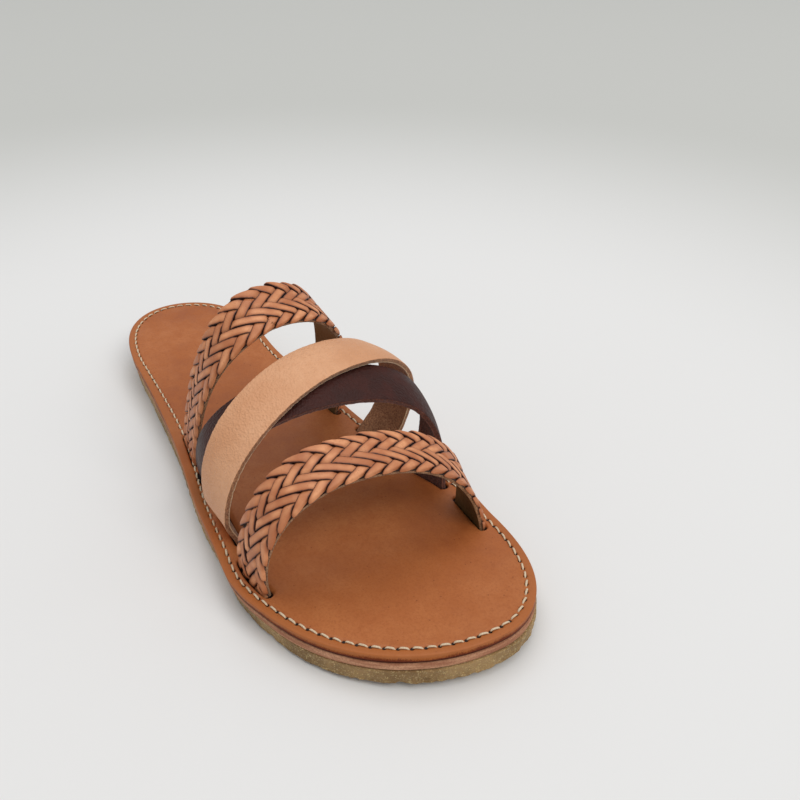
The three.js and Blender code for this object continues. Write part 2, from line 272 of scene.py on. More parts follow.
@dataclass(frozen=True)
class FootForm:
    """Last that the straps lie on. Each strap has its own sections of the foot.

    The columns of a table of sections are where it lies along the sole, the height of its
    ridge, the bulge of its outer and inner flank, its shift to the outer side, and how far
    the outer and inner foot of a strap stand in from the edge.
    """

    sole: SoleForm = field(default_factory=SoleForm)
    instep: float = 62.0
    inset: float = 7.0
    lift_run: float = 14.0
    rear: tuple[tuple[float, ...], ...] = (
        (0.4, 1.361, -0.135, 0.096, 0.177, 0.997, 1.032),
        (0.58, 0.937, -0.013, 0.105, 0.055, 0.999, 1.004),
    )
    cross: tuple[tuple[float, ...], ...] = (
        (0.49, 0.725, 0.043, 0.234, 0.028, 1.011, 0.947),
        (0.53, 0.747, 0.077, 0.233, 0.009, 1.099, 0.936),
        (0.61, 0.791, 0.144, 0.23, -0.029, 1.274, 0.913),
        (0.69, 0.695, 0.076, 0.151, -0.028, 1.396, 1.097),
        (0.77, 0.539, 0.004, -0.052, 0.093, 0.947, 1.184),
        (0.81, 0.461, -0.032, -0.153, 0.153, 0.723, 1.228),
    )
    toe: tuple[tuple[float, ...], ...] = (
        (0.7, 0.712, -0.056, 0.203, 0.155, 1.234, 1.163),
        (0.88, 0.524, 0.045, -0.013, 0.168, 1.027, 1.254),
    )

    def _inside(self, route: Route, x: Array, angle: Array) -> Array:
        """Point of the form between its two feet.

        Args:
            route: the strap whose sections to take.
            x: where along the sole.
            angle: how far round the section, from 0 at the outer foot to pi at the inner one.

        Returns:
            The points.
        """
        rows = np.array(route.sections)
        along = x / self.sole.length
        ridge, lateral, medial, shift = (
            self.instep * read_table(rows[:, 0], rows[:, k], along) for k in (1, 2, 3, 4)
        )
        insets = [self.inset * read_table(rows[:, 0], rows[:, k], along) for k in (5, 6)]
        outer = self.sole.edge(x, Side.LATERAL) + insets[0]
        inner = self.sole.edge(x, Side.MEDIAL) - insets[1]
        rise = np.sin(angle)
        bulge = np.where(np.cos(angle) > 0, lateral, medial)
        level = (outer + inner) / 2 - (inner - outer) / 2 * np.cos(angle)
        y = level - bulge * np.sin(2 * angle) - shift * rise
        return np.stack([x, y, self.sole.footbed(x) + ridge * rise], -1)

    def point(self, route: Route, x: Array, angle: Array) -> Array:
        """Point of the form, running straight on below the feet of the straps.

        Args:
            route: the strap whose sections to take.
            x: where along the sole.
            angle: how far round the section, which may be past the feet.

        Returns:
            The points.
        """
        x, angle = np.broadcast_arrays(np.asarray(x, float), np.asarray(angle, float))
        held = np.clip(angle, 0, math.pi)
        foot = self._inside(route, x, held)
        outer_half = angle < math.pi / 2
        near = self._inside(route, x, np.where(outer_half, TINY, math.pi - TINY))
        slope = (near - foot) / np.where(outer_half, TINY, -TINY)[..., None]
        beyond = (angle != held)[..., None]
        return np.where(beyond, foot + slope * (angle - held)[..., None], foot)

    def _tangents(self, route: Route, x: Array, angle: Array) -> tuple[Array, Array]:
        """Derivatives of the form.

        Args:
            route: the strap whose sections to take.
            x: where along the sole.
            angle: how far round the section.

        Returns:
            The derivatives along x and round the section.
        """
        along = self.point(route, x + TINY, angle) - self.point(route, x - TINY, angle)
        around = self.point(route, x, angle + TINY) - self.point(route, x, angle - TINY)
        return along / (2 * TINY), around / (2 * TINY)

    def centre(self, route: Route, angle: Array) -> Array:
        """Place of a strap's middle along the sole.

        Args:
            route: the strap's way over the form.
            angle: how far round the section.

        Returns:
            x at each angle.
        """
        held = np.clip(angle, 0, math.pi)
        straight = route.lateral + (route.medial - route.lateral) * angle / math.pi
        return self.sole.length * (straight + route.bow * np.sin(held) + route.swing * np.sin(2 * held))

    def on_strap(self, route: Route, angle: Array, offset: Array, height: Array) -> Array:
        """Point of a strap.

        Args:
            route: the strap's way over the form.
            angle: how far round the section, 0 at the outer foot and pi at the inner one.
            offset: across the strap from its middle, to the toe.
            height: off the strap's back.

        Returns:
            The points, in the shape that the three arrays broadcast to.
        """
        angle, offset, height = np.broadcast_arrays(
            np.asarray(angle, float), np.asarray(offset, float), np.asarray(height, float)
        )
        x = self.centre(route, angle)
        along, around = self._tangents(route, x, angle)
        turn = (self.centre(route, angle + TINY) - self.centre(route, angle - TINY)) / (2 * TINY)
        run = around + along * turn[..., None]
        run /= np.linalg.norm(run, axis=-1, keepdims=True)
        across = along - run * (along * run).sum(-1, keepdims=True)
        across /= np.linalg.norm(across, axis=-1, keepdims=True)
        xx, aa, xa = (along**2).sum(-1), (around**2).sum(-1), (along * around).sum(-1)
        px, pa = (across * along).sum(-1), (across * around).sum(-1)
        spread = xx * aa - xa * xa
        moved_x = x + offset * (px * aa - pa * xa) / spread
        moved_angle = angle + offset * (pa * xx - px * xa) / spread
        out = np.cross(*self._tangents(route, moved_x, moved_angle))
        out /= np.linalg.norm(out, axis=-1, keepdims=True)
        from_foot = np.minimum(angle, math.pi - angle) * self.instep
        lifted = height + route.lift * smoothstep(0, self.lift_run, from_foot)
        return self.point(route, moved_x, moved_angle) + out * lifted[..., None]


def make_mesh(
    name: str,
    points: Array,
    faces: Sequence[Sequence[int]],
    finishes: Sequence[Material],
    attributes: dict[str, Array] | None = None,
    finish_of: Array | None = None,
    sharp: float | None = None,
) -> Piece:
    """Object at the origin from points in metres.

    Args:
        name: name of the object and its mesh.
        points: vertices in metres in the frame's own place.
        faces: vertex numbers of each face, facing out.
        finishes: materials of the mesh, in slot order.
        attributes: values stored at each vertex, by name.
        finish_of: slot number of each face. All faces take the first one without it.
        sharp: angle in degrees over which an edge stays sharp.

    Returns:
        The new object, linked to the scene.
    """
    mesh = bpy.data.meshes.new(name)
    mesh.from_pydata(np.asarray(points).tolist(), [], [tuple(int(k) for k in f) for f in faces])
    mesh.polygons.foreach_set("use_smooth", np.ones(len(mesh.polygons), dtype=bool))
    for finish in finishes:
        mesh.materials.append(finish)
    if finish_of is not None:
        mesh.polygons.foreach_set("material_index", np.asarray(finish_of, dtype=np.int32))
    for key, values in (attributes or {}).items():
        layer = mesh.attributes.new(key, "FLOAT", "POINT")
        layer.data.foreach_set("value", np.asarray(values, dtype=np.float32))
    if sharp is not None:
        mesh.set_sharp_from_angle(angle=math.radians(sharp))
    mesh.update()
    piece = bpy.data.objects.new(name, mesh)
    bpy.context.scene.collection.objects.link(piece)
    return piece


def ring_faces(count: int, rings: int) -> Faces:
    """Faces between neighbouring closed rings.

    Args:
        count: points in a ring.
        rings: how many rings there are.

    Returns:
        Four vertex numbers for each face.
    """
    faces: Faces = []
    for r in range(rings - 1):
        for k in range(count):
            a, b = r * count + k, r * count + (k + 1) % count
            faces.append((a, b, b + count, a + count))
    return faces


def ripples(points: Array, layers: Ripples) -> Array:
    """Smooth noise at each point.

    Args:
        points: the points.
        layers: the height of each layer's lumps, their size and a seed.

    Returns:
        The sum of the layers.
    """
    places = [Vector(point) for point in points.tolist()]
    total = np.zeros(len(points))
    for height, size, seed in layers:
        shift = Vector((seed, -seed, seed * 0.5))
        total += height * np.array([noise.noise(place / size + shift) for place in places])
    return total


def connect(tree: bpy.types.NodeTree, node: Node, inputs: dict) -> None:
    """Sets or links a node's inputs.

    Args:
        tree: the tree that holds the node.
        node: the node.
        inputs: what goes into each input, by its name or number: a value, an output socket,
            or a node, whose first output in use is taken.
    """
    for key, value in inputs.items():
        if isinstance(value, Node):
            value = next(socket for socket in value.outputs if socket.enabled)
        if isinstance(value, bpy.types.NodeSocket):
            tree.links.new(value, node.inputs[key])
        else:
            node.inputs[key].default_value = value


def add_node(tree: bpy.types.NodeTree, kind: str, inputs: dict | None = None, **settings: object) -> Node:
    """Adds a node with its settings and links.

    Args:
        tree: the material's or the node group's tree.
        kind: the node's type.
        inputs: what goes into its inputs, as connect takes it.
        settings: the node's own properties.

    Returns:
        The node.
    """
    node = tree.nodes.new(kind)
    for key, value in settings.items():
        setattr(node, key, value)
    connect(tree, node, inputs or {})
    return node


def span(value: object, low: float, high: float, to_low: float = 0.0, to_high: float = 1.0) -> dict:
    """Inputs that carry a value from the range low to high to another range."""
    return {"Value": value, "From Min": low, "From Max": high, "To Min": to_low, "To Max": to_high}


class Shader:
    """One node material: a Principled surface that is painted in layers."""

    def __init__(self, name: str, ground: str) -> None:
        """Starts the material.

        Args:
            name: the material's name.
            ground: hex colour under all layers.
        """
        self.material = bpy.data.materials.new(name)
        self.material.use_nodes = True
        self.tree = self.material.node_tree
        self.tree.nodes.clear()
        self.surface = self.add("BsdfPrincipled")
        self.add("OutputMaterial", {"Surface": self.surface})
        self.place = self.add("TexCoord").outputs["Object"]
        self.colour: object = linear(ground)

    def add(self, kind: str, inputs: dict | None = None, **settings: object) -> Node:
        """Adds a node to this material, with its settings and links."""
        return add_node(self.tree, f"ShaderNode{kind}", inputs, **settings)

    def stored(self, name: str) -> bpy.types.NodeSocket:
        """Value stored at the vertices under a name."""
        return self.add("Attribute", attribute_name=name).outputs["Fac"]

    def grain(self, size: float, **inputs: object) -> dict:
        """Inputs of a pattern whose lumps or cells have a size in millimetres."""
        return {"Vector": self.place, "Scale": 1 / (size * MM), **inputs}

    def wash(self, colour: str, share: object) -> None:
        """Lays a hex colour over what is painted so far, by a share."""
        layers = {0: share, 6: self.colour, 7: linear(colour)}
        self.colour = self.add("Mix", layers, data_type="RGBA")

    def paint(self, colour: str, where: object, *limits: float) -> None:
        """Lays a hex colour over by a value, between the limits that span takes."""
        self.wash(colour, self.add("MapRange", span(where, *limits), **SMOOTH))

    def combine(self, operation: str, first: object, *others: object) -> object:
        """Carries one operation through several values.

        Args:
            operation: the operation's name.
            first: the first value.
            others: the other values, in order.

        Returns:
            The last node.
        """
        for other in others:
            first = self.add("Math", {0: first, 1: other}, operation=operation)
        return first

    def about_zero(self, value: object, swing: float) -> Node:
        """Value from 0 to 1 made to run evenly about zero, swing from end to end."""
        return self.add("Math", {0: value, 1: swing, 2: -swing / 2}, operation="MULTIPLY_ADD")

    def relief(self, *layers: tuple[object, float, float]) -> None:
        """Raises the surface.

        Args:
            layers: the height, its depth in millimetres and its strength, for each layer.
        """
        below: dict = {}
        for height, depth, strength in layers:
            bump = {"Strength": strength, "Distance": depth * MM, "Height": height, **below}
            below = {"Normal": self.add("Bump", bump)}
        connect(self.tree, self.surface, below)

    def finish(self, inputs: dict) -> Material:
        """Gives the surface its colour and other inputs, and returns the material."""
        connect(self.tree, self.surface, {"Base Color": self.colour, **inputs})
        return self.material


@dataclass(frozen=True)
class Leather:
    """Vegetable-tanned leather, grain side out.

    The hide takes the dye unevenly, so the eye sees soft mottling, dark pores in patches and
    a low satin sheen. Pattern sizes are millimetres. A lace darkens towards its sides and rim,
    partly its real dark cut edge and partly painted shade of the gaps between the laces, and it
    has a tone of its own; both are read from stored values.
    """

    name: str
    base: str
    light: str
    dark: str
    edge: str
    mottle: float = 22.0
    grain: float = 0.55
    pores: float = 1.6
    pore_patches: float = 7.0
    pore_share: float = 0.5
    relief: float = 0.12
    roughness: float = 0.52
    gloss: float = 0.3
    lace: bool = False
    rim_width: float = 0.52

    def build(self) -> Material:
        """Builds the node material.

        Returns:
            The material.
        """
        s = Shader(self.name, self.dark)
        mottle = s.add("TexNoise", s.grain(self.mottle, Detail=4.0, Roughness=0.55))
        fine = s.add("TexNoise", s.grain(self.grain * 3, Detail=5.0, Roughness=0.65))
        cells = s.add("TexVoronoi", s.grain(self.pores))
        patches = s.add("TexNoise", s.grain(self.pore_patches, Detail=2.0))
        pore = s.add("MapRange", span(cells, 0.1, 0.2, 1.0, 0.0), **SMOOTH)
        sparse = s.add("MapRange", span(patches, 0.5, 0.62), **SMOOTH)
        s.paint(self.light, mottle, 0.36, 0.64)
        s.wash(self.base, 0.45)
        s.paint(self.dark, fine, 0.35, 0.7, 0.0, 0.35)
        s.wash(self.edge, s.combine("MULTIPLY", pore, sparse, self.pore_share))
        if self.lace:
            rim = s.stored("rim")
            dark_edge = s.combine("ADD", rim, s.about_zero(fine, self.rim_width))
            s.paint(self.dark, s.stored("tone"), 0.0, 1.0, 0.0, 0.5)
            # Painted shade and real edge: darker towards the lace's sides and rim, partly its dark cut edge
            # and partly painted shade of the gaps between the laces.
            s.paint(self.dark, rim, 0.0, 2.6 * self.rim_width, 0.8, 0.0)
            s.paint(self.edge, dark_edge, 0.0, self.rim_width, 1.0, 0.0)
        pebbles = s.add("TexVoronoi", s.grain(self.grain))
        s.relief((pebbles, self.relief, 0.5), (fine, self.relief * 2, 0.35))
        low, high = self.roughness - 0.06, self.roughness + 0.07
        rough = s.add("MapRange", span(mottle, 0.3, 0.7, low, high), **SMOOTH)
        return s.finish({"Roughness": rough, "Specular IOR Level": self.gloss})


@dataclass(frozen=True)
class Suede:
    """Flesh side or cut edge of leather.

    Its short matted fibres scatter the light, so it looks dull and speckled, with a faint
    sheen at a low angle. Pattern sizes are millimetres.
    """

    name: str
    base: str
    dark: str
    frill: str | None = None
    fibre: float = 0.7
    patch: float = 6.0
    frayed: float = 0.5
    relief: float = 0.5

    def build(self) -> Material:
        """Builds the node material, with pale fibres where the value frill is stored.

        Returns:
            The material.
        """
        s = Shader(self.name, self.dark)
        nap = s.add("TexNoise", s.grain(self.fibre, Detail=6.0, Roughness=0.75))
        s.paint(self.base, nap, 0.35, 0.65)
        s.paint(self.dark, s.add("TexNoise", s.grain(self.patch, Detail=3.0)), 0.4, 0.75, 0.0, 0.35)
        if self.frill:
            fibres = s.add("TexNoise", s.grain(self.frayed, Detail=5.0, Roughness=0.8))
            torn = s.combine("ADD", s.stored("frill"), s.about_zero(fibres, 1.0))
            s.paint(self.frill, torn, 0.72, 0.98, 0.0, 0.95)
        s.relief((nap, self.relief, 0.7))
        return s.finish({"Roughness": 0.92, "Specular IOR Level": 0.15, "Sheen Weight": 0.25})


@dataclass(frozen=True)
class InsoleLeather:
    """Vegetable-tanned footbed leather.

    Tan and clouded from the hide, with fine grain, a few pores and a lip that burnishing made dark
    and smooth. Its awl holes and strap slots are painted near black as painted shade. Pattern sizes
    are millimetres.
    """

    stitch_inset: float
    name: str = "tan vegetable-tanned leather"
    base: str = "#AB6130"
    light: str = "#BA7240"
    dark: str = "#934C23"
    rim: str = "#A8612E"
    burnish: str = "#622512"
    # Near-black painted shade for the awl holes and the strap slots.
    seam: str = "#3A120C"
    hole: str = "#1A0A06"
    cloud: float = 38.0
    mottle: float = 8.0
    grain: float = 0.9
    pebble: float = 0.6
    pores: float = 2.6
    pore_patches: float = 5.0
    grit: float = 0.45
    wear: float = 9.0

    def build(self) -> Material:
        """Builds the node material, which reads where each point lies from stored values.

        Returns:
            The material.
        """
        s = Shader(self.name, self.dark)
        cloud = s.add("TexNoise", s.grain(self.cloud, Detail=4.0, Roughness=0.6))
        mottle = s.add("TexNoise", s.grain(self.mottle, Detail=6.0, Roughness=0.65))
        fine = s.add("TexNoise", s.grain(self.grain, Detail=6.0, Roughness=0.7))
        s.paint(self.light, cloud, 0.34, 0.66)
        s.paint(self.base, mottle, 0.35, 0.65, 0.35, 0.85)
        s.paint(self.dark, fine, 0.42, 0.7, 0.0, 0.45)

        cells = s.add("TexVoronoi", s.grain(self.pores))
        patches = s.add("TexNoise", s.grain(self.pore_patches, Detail=2.0))
        pore = s.add("MapRange", span(cells, 0.07, 0.13, 1.0, 0.0), **SMOOTH)
        sparse = s.add("MapRange", span(patches, 0.52, 0.56), **SMOOTH)
        s.wash(self.burnish, s.combine("MULTIPLY", pore, sparse, 0.6))

        limits = (self.stitch_inset - 0.6, self.stitch_inset + 0.2, 0.6, 0.0)
        s.paint(self.rim, s.stored("inset"), *limits)
        drop = s.stored("drop")
        grit = s.add("TexNoise", s.grain(self.grit, Detail=5.0, Roughness=0.8))
        wear = s.add("TexNoise", s.grain(self.wear, Detail=3.0, Roughness=0.6))
        dark_edge = s.combine("ADD", drop, s.about_zero(grit, 1.5), s.about_zero(wear, 0.9))
        s.paint(self.burnish, dark_edge, 0.26, 0.62, 0.0, 0.9)
        s.paint(self.seam, drop, 0.66, 0.9)
        # Painted shade: the awl holes and strap slots are painted near black for the shade inside them.
        s.paint(self.hole, s.stored("pit"), 0.25, 0.75)

        pebbles = s.add("TexVoronoi", s.grain(self.pebble))
        s.relief((pebbles, 0.06, 0.3), (fine, 0.14, 0.3), (mottle, 0.5, 0.12))
        rough = s.add("MapRange", span(mottle, 0.3, 0.7, 0.42, 0.56), **SMOOTH)
        sheen = s.add("MapRange", span(drop, 0.1, 0.5, 0.3, 0.06), **SMOOTH)
        return s.finish({"Roughness": rough, "Specular IOR Level": sheen})


@dataclass(frozen=True)
class RawEdge:
    """Cut edge of pale midsole leather.

    The knife leaves the fibres lying along the layer, so it is dull and finely streaked.
    Pattern sizes are millimetres.
    """

    name: str = "raw midsole leather"
    base: str = "#C08A68"
    light: str = "#E0B18F"
    dark: str = "#8E5741"
    fibre: float = 0.6
    streak: float = 4.0
    stretch: tuple[float, float, float] = (0.25, 0.25, 3.0)

    def build(self) -> Material:
        """Builds the node material.

        Returns:
            The material.
        """
        s = Shader(self.name, self.dark)
        along = s.add("Mapping", {"Vector": s.place, "Scale": self.stretch})
        fibre = s.add("TexNoise", s.grain(self.fibre, Detail=6.0, Roughness=0.8))
        streak = s.add("TexNoise", s.grain(self.streak, Vector=along, Detail=4.0, Roughness=0.6))
        s.paint(self.light, streak, 0.35, 0.65)
        s.wash(self.base, 0.5)
        s.paint(self.dark, fibre, 0.42, 0.62, 0.0, 0.6)
        s.relief((fibre, 0.25, 0.6), (streak, 0.3, 0.3))
        return s.finish({"Roughness": 0.85, "Specular IOR Level": 0.2})


@dataclass(frozen=True)
class Crepe:
    """Natural crepe rubber.

    Pressed raw sheets, so it is a cloudy olive yellow with paler crumbs, and light goes a
    little way in. Pattern sizes and the depth of the light are millimetres.
    """

    name: str = "natural crepe rubber"
    base: str = "#AD8C5E"
    dark: str = "#876942"
    light: str = "#DCC590"
    cloud: float = 16.0
    crumb: float = 0.7
    lump: float = 2.6
    glow: float = 1.8

    def build(self) -> Material:
        """Builds the node material.

        Returns:
            The material.
        """
        s = Shader(self.name, self.dark)
        cloud = s.add("TexNoise", s.grain(self.cloud, Detail=5.0, Roughness=0.6))
        crumb = s.add("TexNoise", s.grain(self.crumb, Detail=6.0, Roughness=0.75))
        lump = s.add("TexNoise", s.grain(self.lump, Detail=3.0))
        s.paint(self.base, cloud, 0.35, 0.65)
        s.paint(self.light, crumb, 0.54, 0.62, 0.0, 0.8)
        s.paint(self.dark, crumb, 0.44, 0.34, 0.0, 0.4)
        s.relief((crumb, 0.7, 0.8), (lump, 0.9, 0.5))
        inputs = {"Roughness": 0.62, "Specular IOR Level": 0.35, "Subsurface Weight": 0.25}
        inputs |= {"Subsurface Radius": (0.9, 0.6, 0.25), "Subsurface Scale": self.glow * MM}
        return s.finish(inputs)


@dataclass(frozen=True)
class Thread:
    """Waxed cream thread. Its twist shows as fine darker lines, and the wax dulls it."""

    name: str = "waxed cream thread"
    base: str = "#E0CDB0"
    dark: str = "#A88A68"
    twist: float = 0.35

    def build(self) -> Material:
        """Builds the node material.

        Returns:
            The material.
        """
        s = Shader(self.name, self.base)
        twist = s.add("TexNoise", s.grain(self.twist, Detail=3.0, Roughness=0.6))
        s.paint(self.dark, twist, 0.35, 0.7, 0.0, 0.6)
        s.relief((twist, 0.12, 0.6))
        return s.finish({"Roughness": 0.6})


class Repeater:
    """Geometry Nodes group that sets copies of one small mesh along a line."""

    sockets = {
        "Line": "Geometry",
        "Piece": "Object",
        "Count": "Int",
        "Turn": "Float",
        "Wobble": "Float",
        "Spread": "Float",
        "Seed": "Int",
        "Finish": "Material",
    }
    draws = (("Wobble", -1.0, 0), ("Spread", -1.0, 7), ("Tone", 0.0, 3))

    def __init__(self, name: str) -> None:
        """Builds the group.

        Args:
            name: the group's name.
        """
        self.group = bpy.data.node_groups.new(name, "GeometryNodeTree")
        self.inputs = {key: self._socket(key, "INPUT", kind) for key, kind in self.sockets.items()}
        self._socket("Result", "OUTPUT", "Geometry")
        add = functools.partial(add_node, self.group)
        source = add("NodeGroupInput").outputs
        curve = add("GeometryNodeMeshToCurve", {"Mesh": source["Line"]})
        points = add("GeometryNodeResampleCurve", {"Curve": curve, "Count": source["Count"]})

        # Each draw runs from its low end to 1, with its own step on from the seed.
        drawn = {}
        for key, low, step in self.draws:
            seed = add("ShaderNodeMath", {0: source["Seed"], 1: step}, operation="ADD")
            drawn[key] = add("FunctionNodeRandomValue", {2: low, 3: 1.0, "Seed": seed}, data_type="FLOAT")
        turn = {0: drawn["Wobble"], 1: source["Wobble"], 2: source["Turn"]}
        angle = add("ShaderNodeMath", turn, operation="MULTIPLY_ADD")
        spread = {0: drawn["Spread"], 1: source["Spread"], 2: 1.0}
        size = add("ShaderNodeMath", spread, operation="MULTIPLY_ADD")

        tangent = add("GeometryNodeInputTangent")
        facing = add("FunctionNodeAlignRotationToVector", {"Vector": tangent}, axis="X")
        euler = add("ShaderNodeCombineXYZ", {"Z": angle})
        turned = add("FunctionNodeEulerToRotation", {0: euler})
        both = {"Rotation": facing, "Rotate By": turned}
        rotation = add("FunctionNodeRotateRotation", both, rotation_space="LOCAL")
        piece = add("GeometryNodeObjectInfo", {"Object": source["Piece"]}).outputs["Geometry"]
        copies = {"Points": points, "Instance": piece, "Rotation": rotation, "Scale": size}
        placed = add("GeometryNodeInstanceOnPoints", copies)
        tone = {"Geometry": placed, "Name": "tone", "Value": drawn["Tone"]}
        toned = add("GeometryNodeStoreNamedAttribute", tone, data_type="FLOAT", domain="INSTANCE")
        real = add("GeometryNodeRealizeInstances", {"Geometry": toned})
        dressed = add("GeometryNodeSetMaterial", {"Geometry": real, "Material": source["Finish"]})
        add("NodeGroupOutput", {"Result": dressed})

    def _socket(self, name: str, way: str, kind: str) -> str:
        """Adds a named input or output to the group and returns its identifier."""
        new_socket = self.group.interface.new_socket
        return new_socket(name=name, in_out=way, socket_type=f"NodeSocket{kind}").identifier

    def run(self, line: Piece, piece: Piece, values: dict[str, object]) -> Piece:
        """Turns a line into the repeated pieces, as a plain mesh.

        Args:
            line: object whose mesh is the run of edges to follow.
            piece: the small mesh to repeat. It is removed afterwards.
            values: the group's other inputs by name.

        Returns:
            The line object, which now holds the pieces.
        """
        modifier = line.modifiers.new(self.group.name, "NODES")
        modifier.node_group = self.group
        for key, value in {**values, "Piece": piece}.items():
            modifier[self.inputs[key]] = value
        graph = bpy.context.evaluated_depsgraph_get()
        ready = line.evaluated_get(graph)
        mesh = bpy.data.meshes.new_from_object(ready, preserve_all_data_layers=True, depsgraph=graph)
        line.modifiers.remove(modifier)
        old, line.data = line.data, mesh
        small = piece.data
        bpy.data.objects.remove(piece)
        for spent in (old, small):
            bpy.data.meshes.remove(spent)
        return line


def mesh_points(piece: Piece) -> Array:
    """Vertices of an object's mesh.

    Args:
        piece: the object.

    Returns:
        One row of x, y and z for each vertex.
    """
    points = np.empty(len(piece.data.vertices) * 3, dtype=np.float64)
    piece.data.vertices.foreach_get("co", points)
    return points.reshape(-1, 3)


def hand_over(piece: Piece, slot: str, *nodes: str) -> Piece:
    """Gives a finished piece to the frame.

    Args:
        piece: the piece.
        slot: name of its material slot; not used.
        nodes: the solids that it stands for.

    Returns:
        The piece.
    """
    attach(piece, "root")
    if nodes:
        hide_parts(*nodes)
    return piece


def between(low: Surface, high: Surface, share: float) -> Surface:
    """Surface at a share of the way from one surface up to another."""
    return lambda x: low(x) + (high(x) - low(x)) * share


def raised(surface: Surface, by: float) -> Surface:
    """Surface a distance over another."""
    return lambda x: surface(x) + by


def distances(points: Array, chosen: Array, line: Array, reach: float) -> tuple[Array, Array]:
    """Distances in plan from points to a line, for the points near it.

    Args:
        points: all points.
        chosen: numbers of the points that count.
        line: points of the line.
        reach: how far round the line to look.

    Returns:
        The numbers of the near points, and their distances.
    """
    low, high = line[:, :2].min(0) - reach, line[:, :2].max(0) + reach
    flat = points[chosen, :2]
    near = chosen[((flat > low) & (flat < high)).all(1)]
    away = points[near, None, :2] - line[None, :, :2]
    return near, np.linalg.norm(away, axis=2).min(1)


@dataclass(frozen=True)
class Level:
    """One ring of a sole layer: how far in from the edge, its height at x, and if it is on the wall."""

    inset: float
    height: Surface
    wall: bool = False


@dataclass
class SoleLayer:
    """Closed layer of the sole, built as rings from the middle of its underside to that of its top.

    A layer's own class gives its rings in levels, and works its surface in shape.
    """

    form: SoleForm
    count: int = 1500
    spine: tuple[float, float] = (46.0, 212.0)
    straight_inset: float = 14.0
    tuck_reach: float = 12.0
    draw_in: float = 0.0

    def levels(self) -> list[Level]:
        """Rings from the middle of the underside to the middle of the top."""
        raise NotImplementedError

    def shape(self, points: Array, insets: Array, walls: Array) -> dict[str, Array]:
        """Works the surface.

        Args:
            points: the points, which are moved in place.
            insets: how far in from the edge each one is.
            walls: 1 for the points on the wall and 0 for the others.

        Returns:
            The values to store at the points, by name.
        """
        raise NotImplementedError

    def _ring(self, level: Level) -> Array:
        """Points of one ring.

        Args:
            level: the ring's inset and height.

        Returns:
            The points, from the heel's end round by the big-toe side.
        """
        loop, normal = self.form.rim(self.count)
        flat = loop - normal * min(level.inset, self.straight_inset)
        if level.inset > self.straight_inset:
            share = (level.inset - self.straight_inset) / (CLOSED - self.straight_inset)
            flat = flat + (self._middle() - flat) * share
        height = level.height(flat[:, 0])
        outer = np.clip(-normal[:, 1], 0, 1) * max(0.0, 1 - level.inset / self.tuck_reach)
        flat[:, 1] += outer * (self.form.tuck(flat[:, 0], height) + self.draw_in)
        return np.concatenate([flat, height[:, None]], 1)

    def _middle(self) -> Array:
        """Middle line that the rings close on.

        Returns:
            A point of it for each point of a ring.
        """
        half = self.count // 2
        steps = np.concatenate([np.arange(half + 1), np.arange(half - 1, 0, -1)]) / half
        x = self.spine[0] + (self.spine[1] - self.spine[0]) * steps
        middle = (self.form.edge(x, Side.MEDIAL) + self.form.edge(x, Side.LATERAL)) / 2
        return np.stack([x, middle], -1)

    def layer(self, name: str, finish: Material) -> Piece:
        """Builds the layer's mesh.

        Args:
            name: the object's name.
            finish: its material.

        Returns:
            The object.
        """
        levels, count = self.levels(), self.count
        across = count // 2 + 1
        middle = self._middle()[:across]
        ends = [np.column_stack([middle, end.height(middle[:, 0])]) for end in (levels[0], levels[-1])]
        points = np.concatenate([*(self._ring(level) for level in levels), *ends])
        counts = [count] * len(levels) + [2 * across]
        insets = np.repeat([*(level.inset for level in levels), CLOSED], counts)
        walls = np.repeat([*(float(level.wall) for level in levels), 0.0], counts)

        faces = ring_faces(count, len(levels))
        total = len(levels) * count
        last = total - count
        for k in range(count):
            following = (k + 1) % count
            a, b = (total + min(j, count - j) for j in (k, following))
            faces.append((following, k, a, b))
            faces.append((last + k, last + following, b + across, a + across))
        values = self.shape(points, insets, walls)
        return make_mesh(name, self.form.place(points), faces, [finish], {"inset": insets, **values})


@dataclass
class Outsole(SoleLayer):
    """Crepe outsole, rough on its wall and crumbly along its lower edge."""

    count: int = 1600
    draw_in: float = 0.6
    seam: float = 0.3
    bulge: float = 0.25
    roughness: Ripples = ((0.3, 2.3, 3.1), (0.18, 0.9, 8.4))
    tears: Ripples = ((1.0, 4.0, 5.2),)
    tear_depth: float = 1.5
    tear_fade: float = 2.2
    wall_height: float = 8.0
    centre: tuple[float, float] = (135.0, -8.0)

    def levels(self) -> list[Level]:
        """Rings from the tread up the bulging wall and in over the top.

        Returns:
            The rings.
        """
        proud = self.form.crepe_proud
        base, top = self.form.floor, raised(self.form.crepe_top, -self.seam)
        under = [Level(inset, base) for inset in (55, 24, 12, 6, 3, 1.6, 0.7)]
        wall = [Level(0.1 - proud, between(base, top, 0.03), True)]
        for share in np.linspace(0.1, 0.96, 11):
            wall.append(Level(-proud - self.bulge * (1 - share) ** 2, between(base, top, share), True))
        wall.append(Level(-proud + 0.25, top, True))
        return under + wall + [Level(inset, top) for inset in (1.5, 8, 40)]

    def shape(self, points: Array, insets: Array, walls: Array) -> dict[str, Array]:
        """Roughens the wall and tears crumbs out of its foot.

        Args:
            points: the layer's points, moved in place.
            insets: how far in from the edge each point lies.
            walls: 1 on the outer wall and 0 elsewhere.

        Returns:
            Values to store for the finish, by name.
        """
        height = np.clip((points[:, 2] - self.form.floor(points[:, 0])) / self.wall_height, 0, 1)
        rough = ripples(points, self.roughness) * (0.45 + 0.75 * (1 - height))
        low = np.clip(1 - self.tear_fade * height, 0, 1)
        torn = np.clip(ripples(points, self.tears) - 0.15, 0, 1) * low
        away = points[:, :2] - np.array(self.centre)
        away /= np.maximum(np.linalg.norm(away, axis=1), TINY)[:, None]
        points[:, :2] += away * (walls * (rough - self.tear_depth * torn))[:, None]
        return {}

    def build(self) -> Piece:
        """Builds and dresses the outsole."""
        return hand_over(self.layer("crepe_outsole", Crepe().build()), "crepe", "outsole")


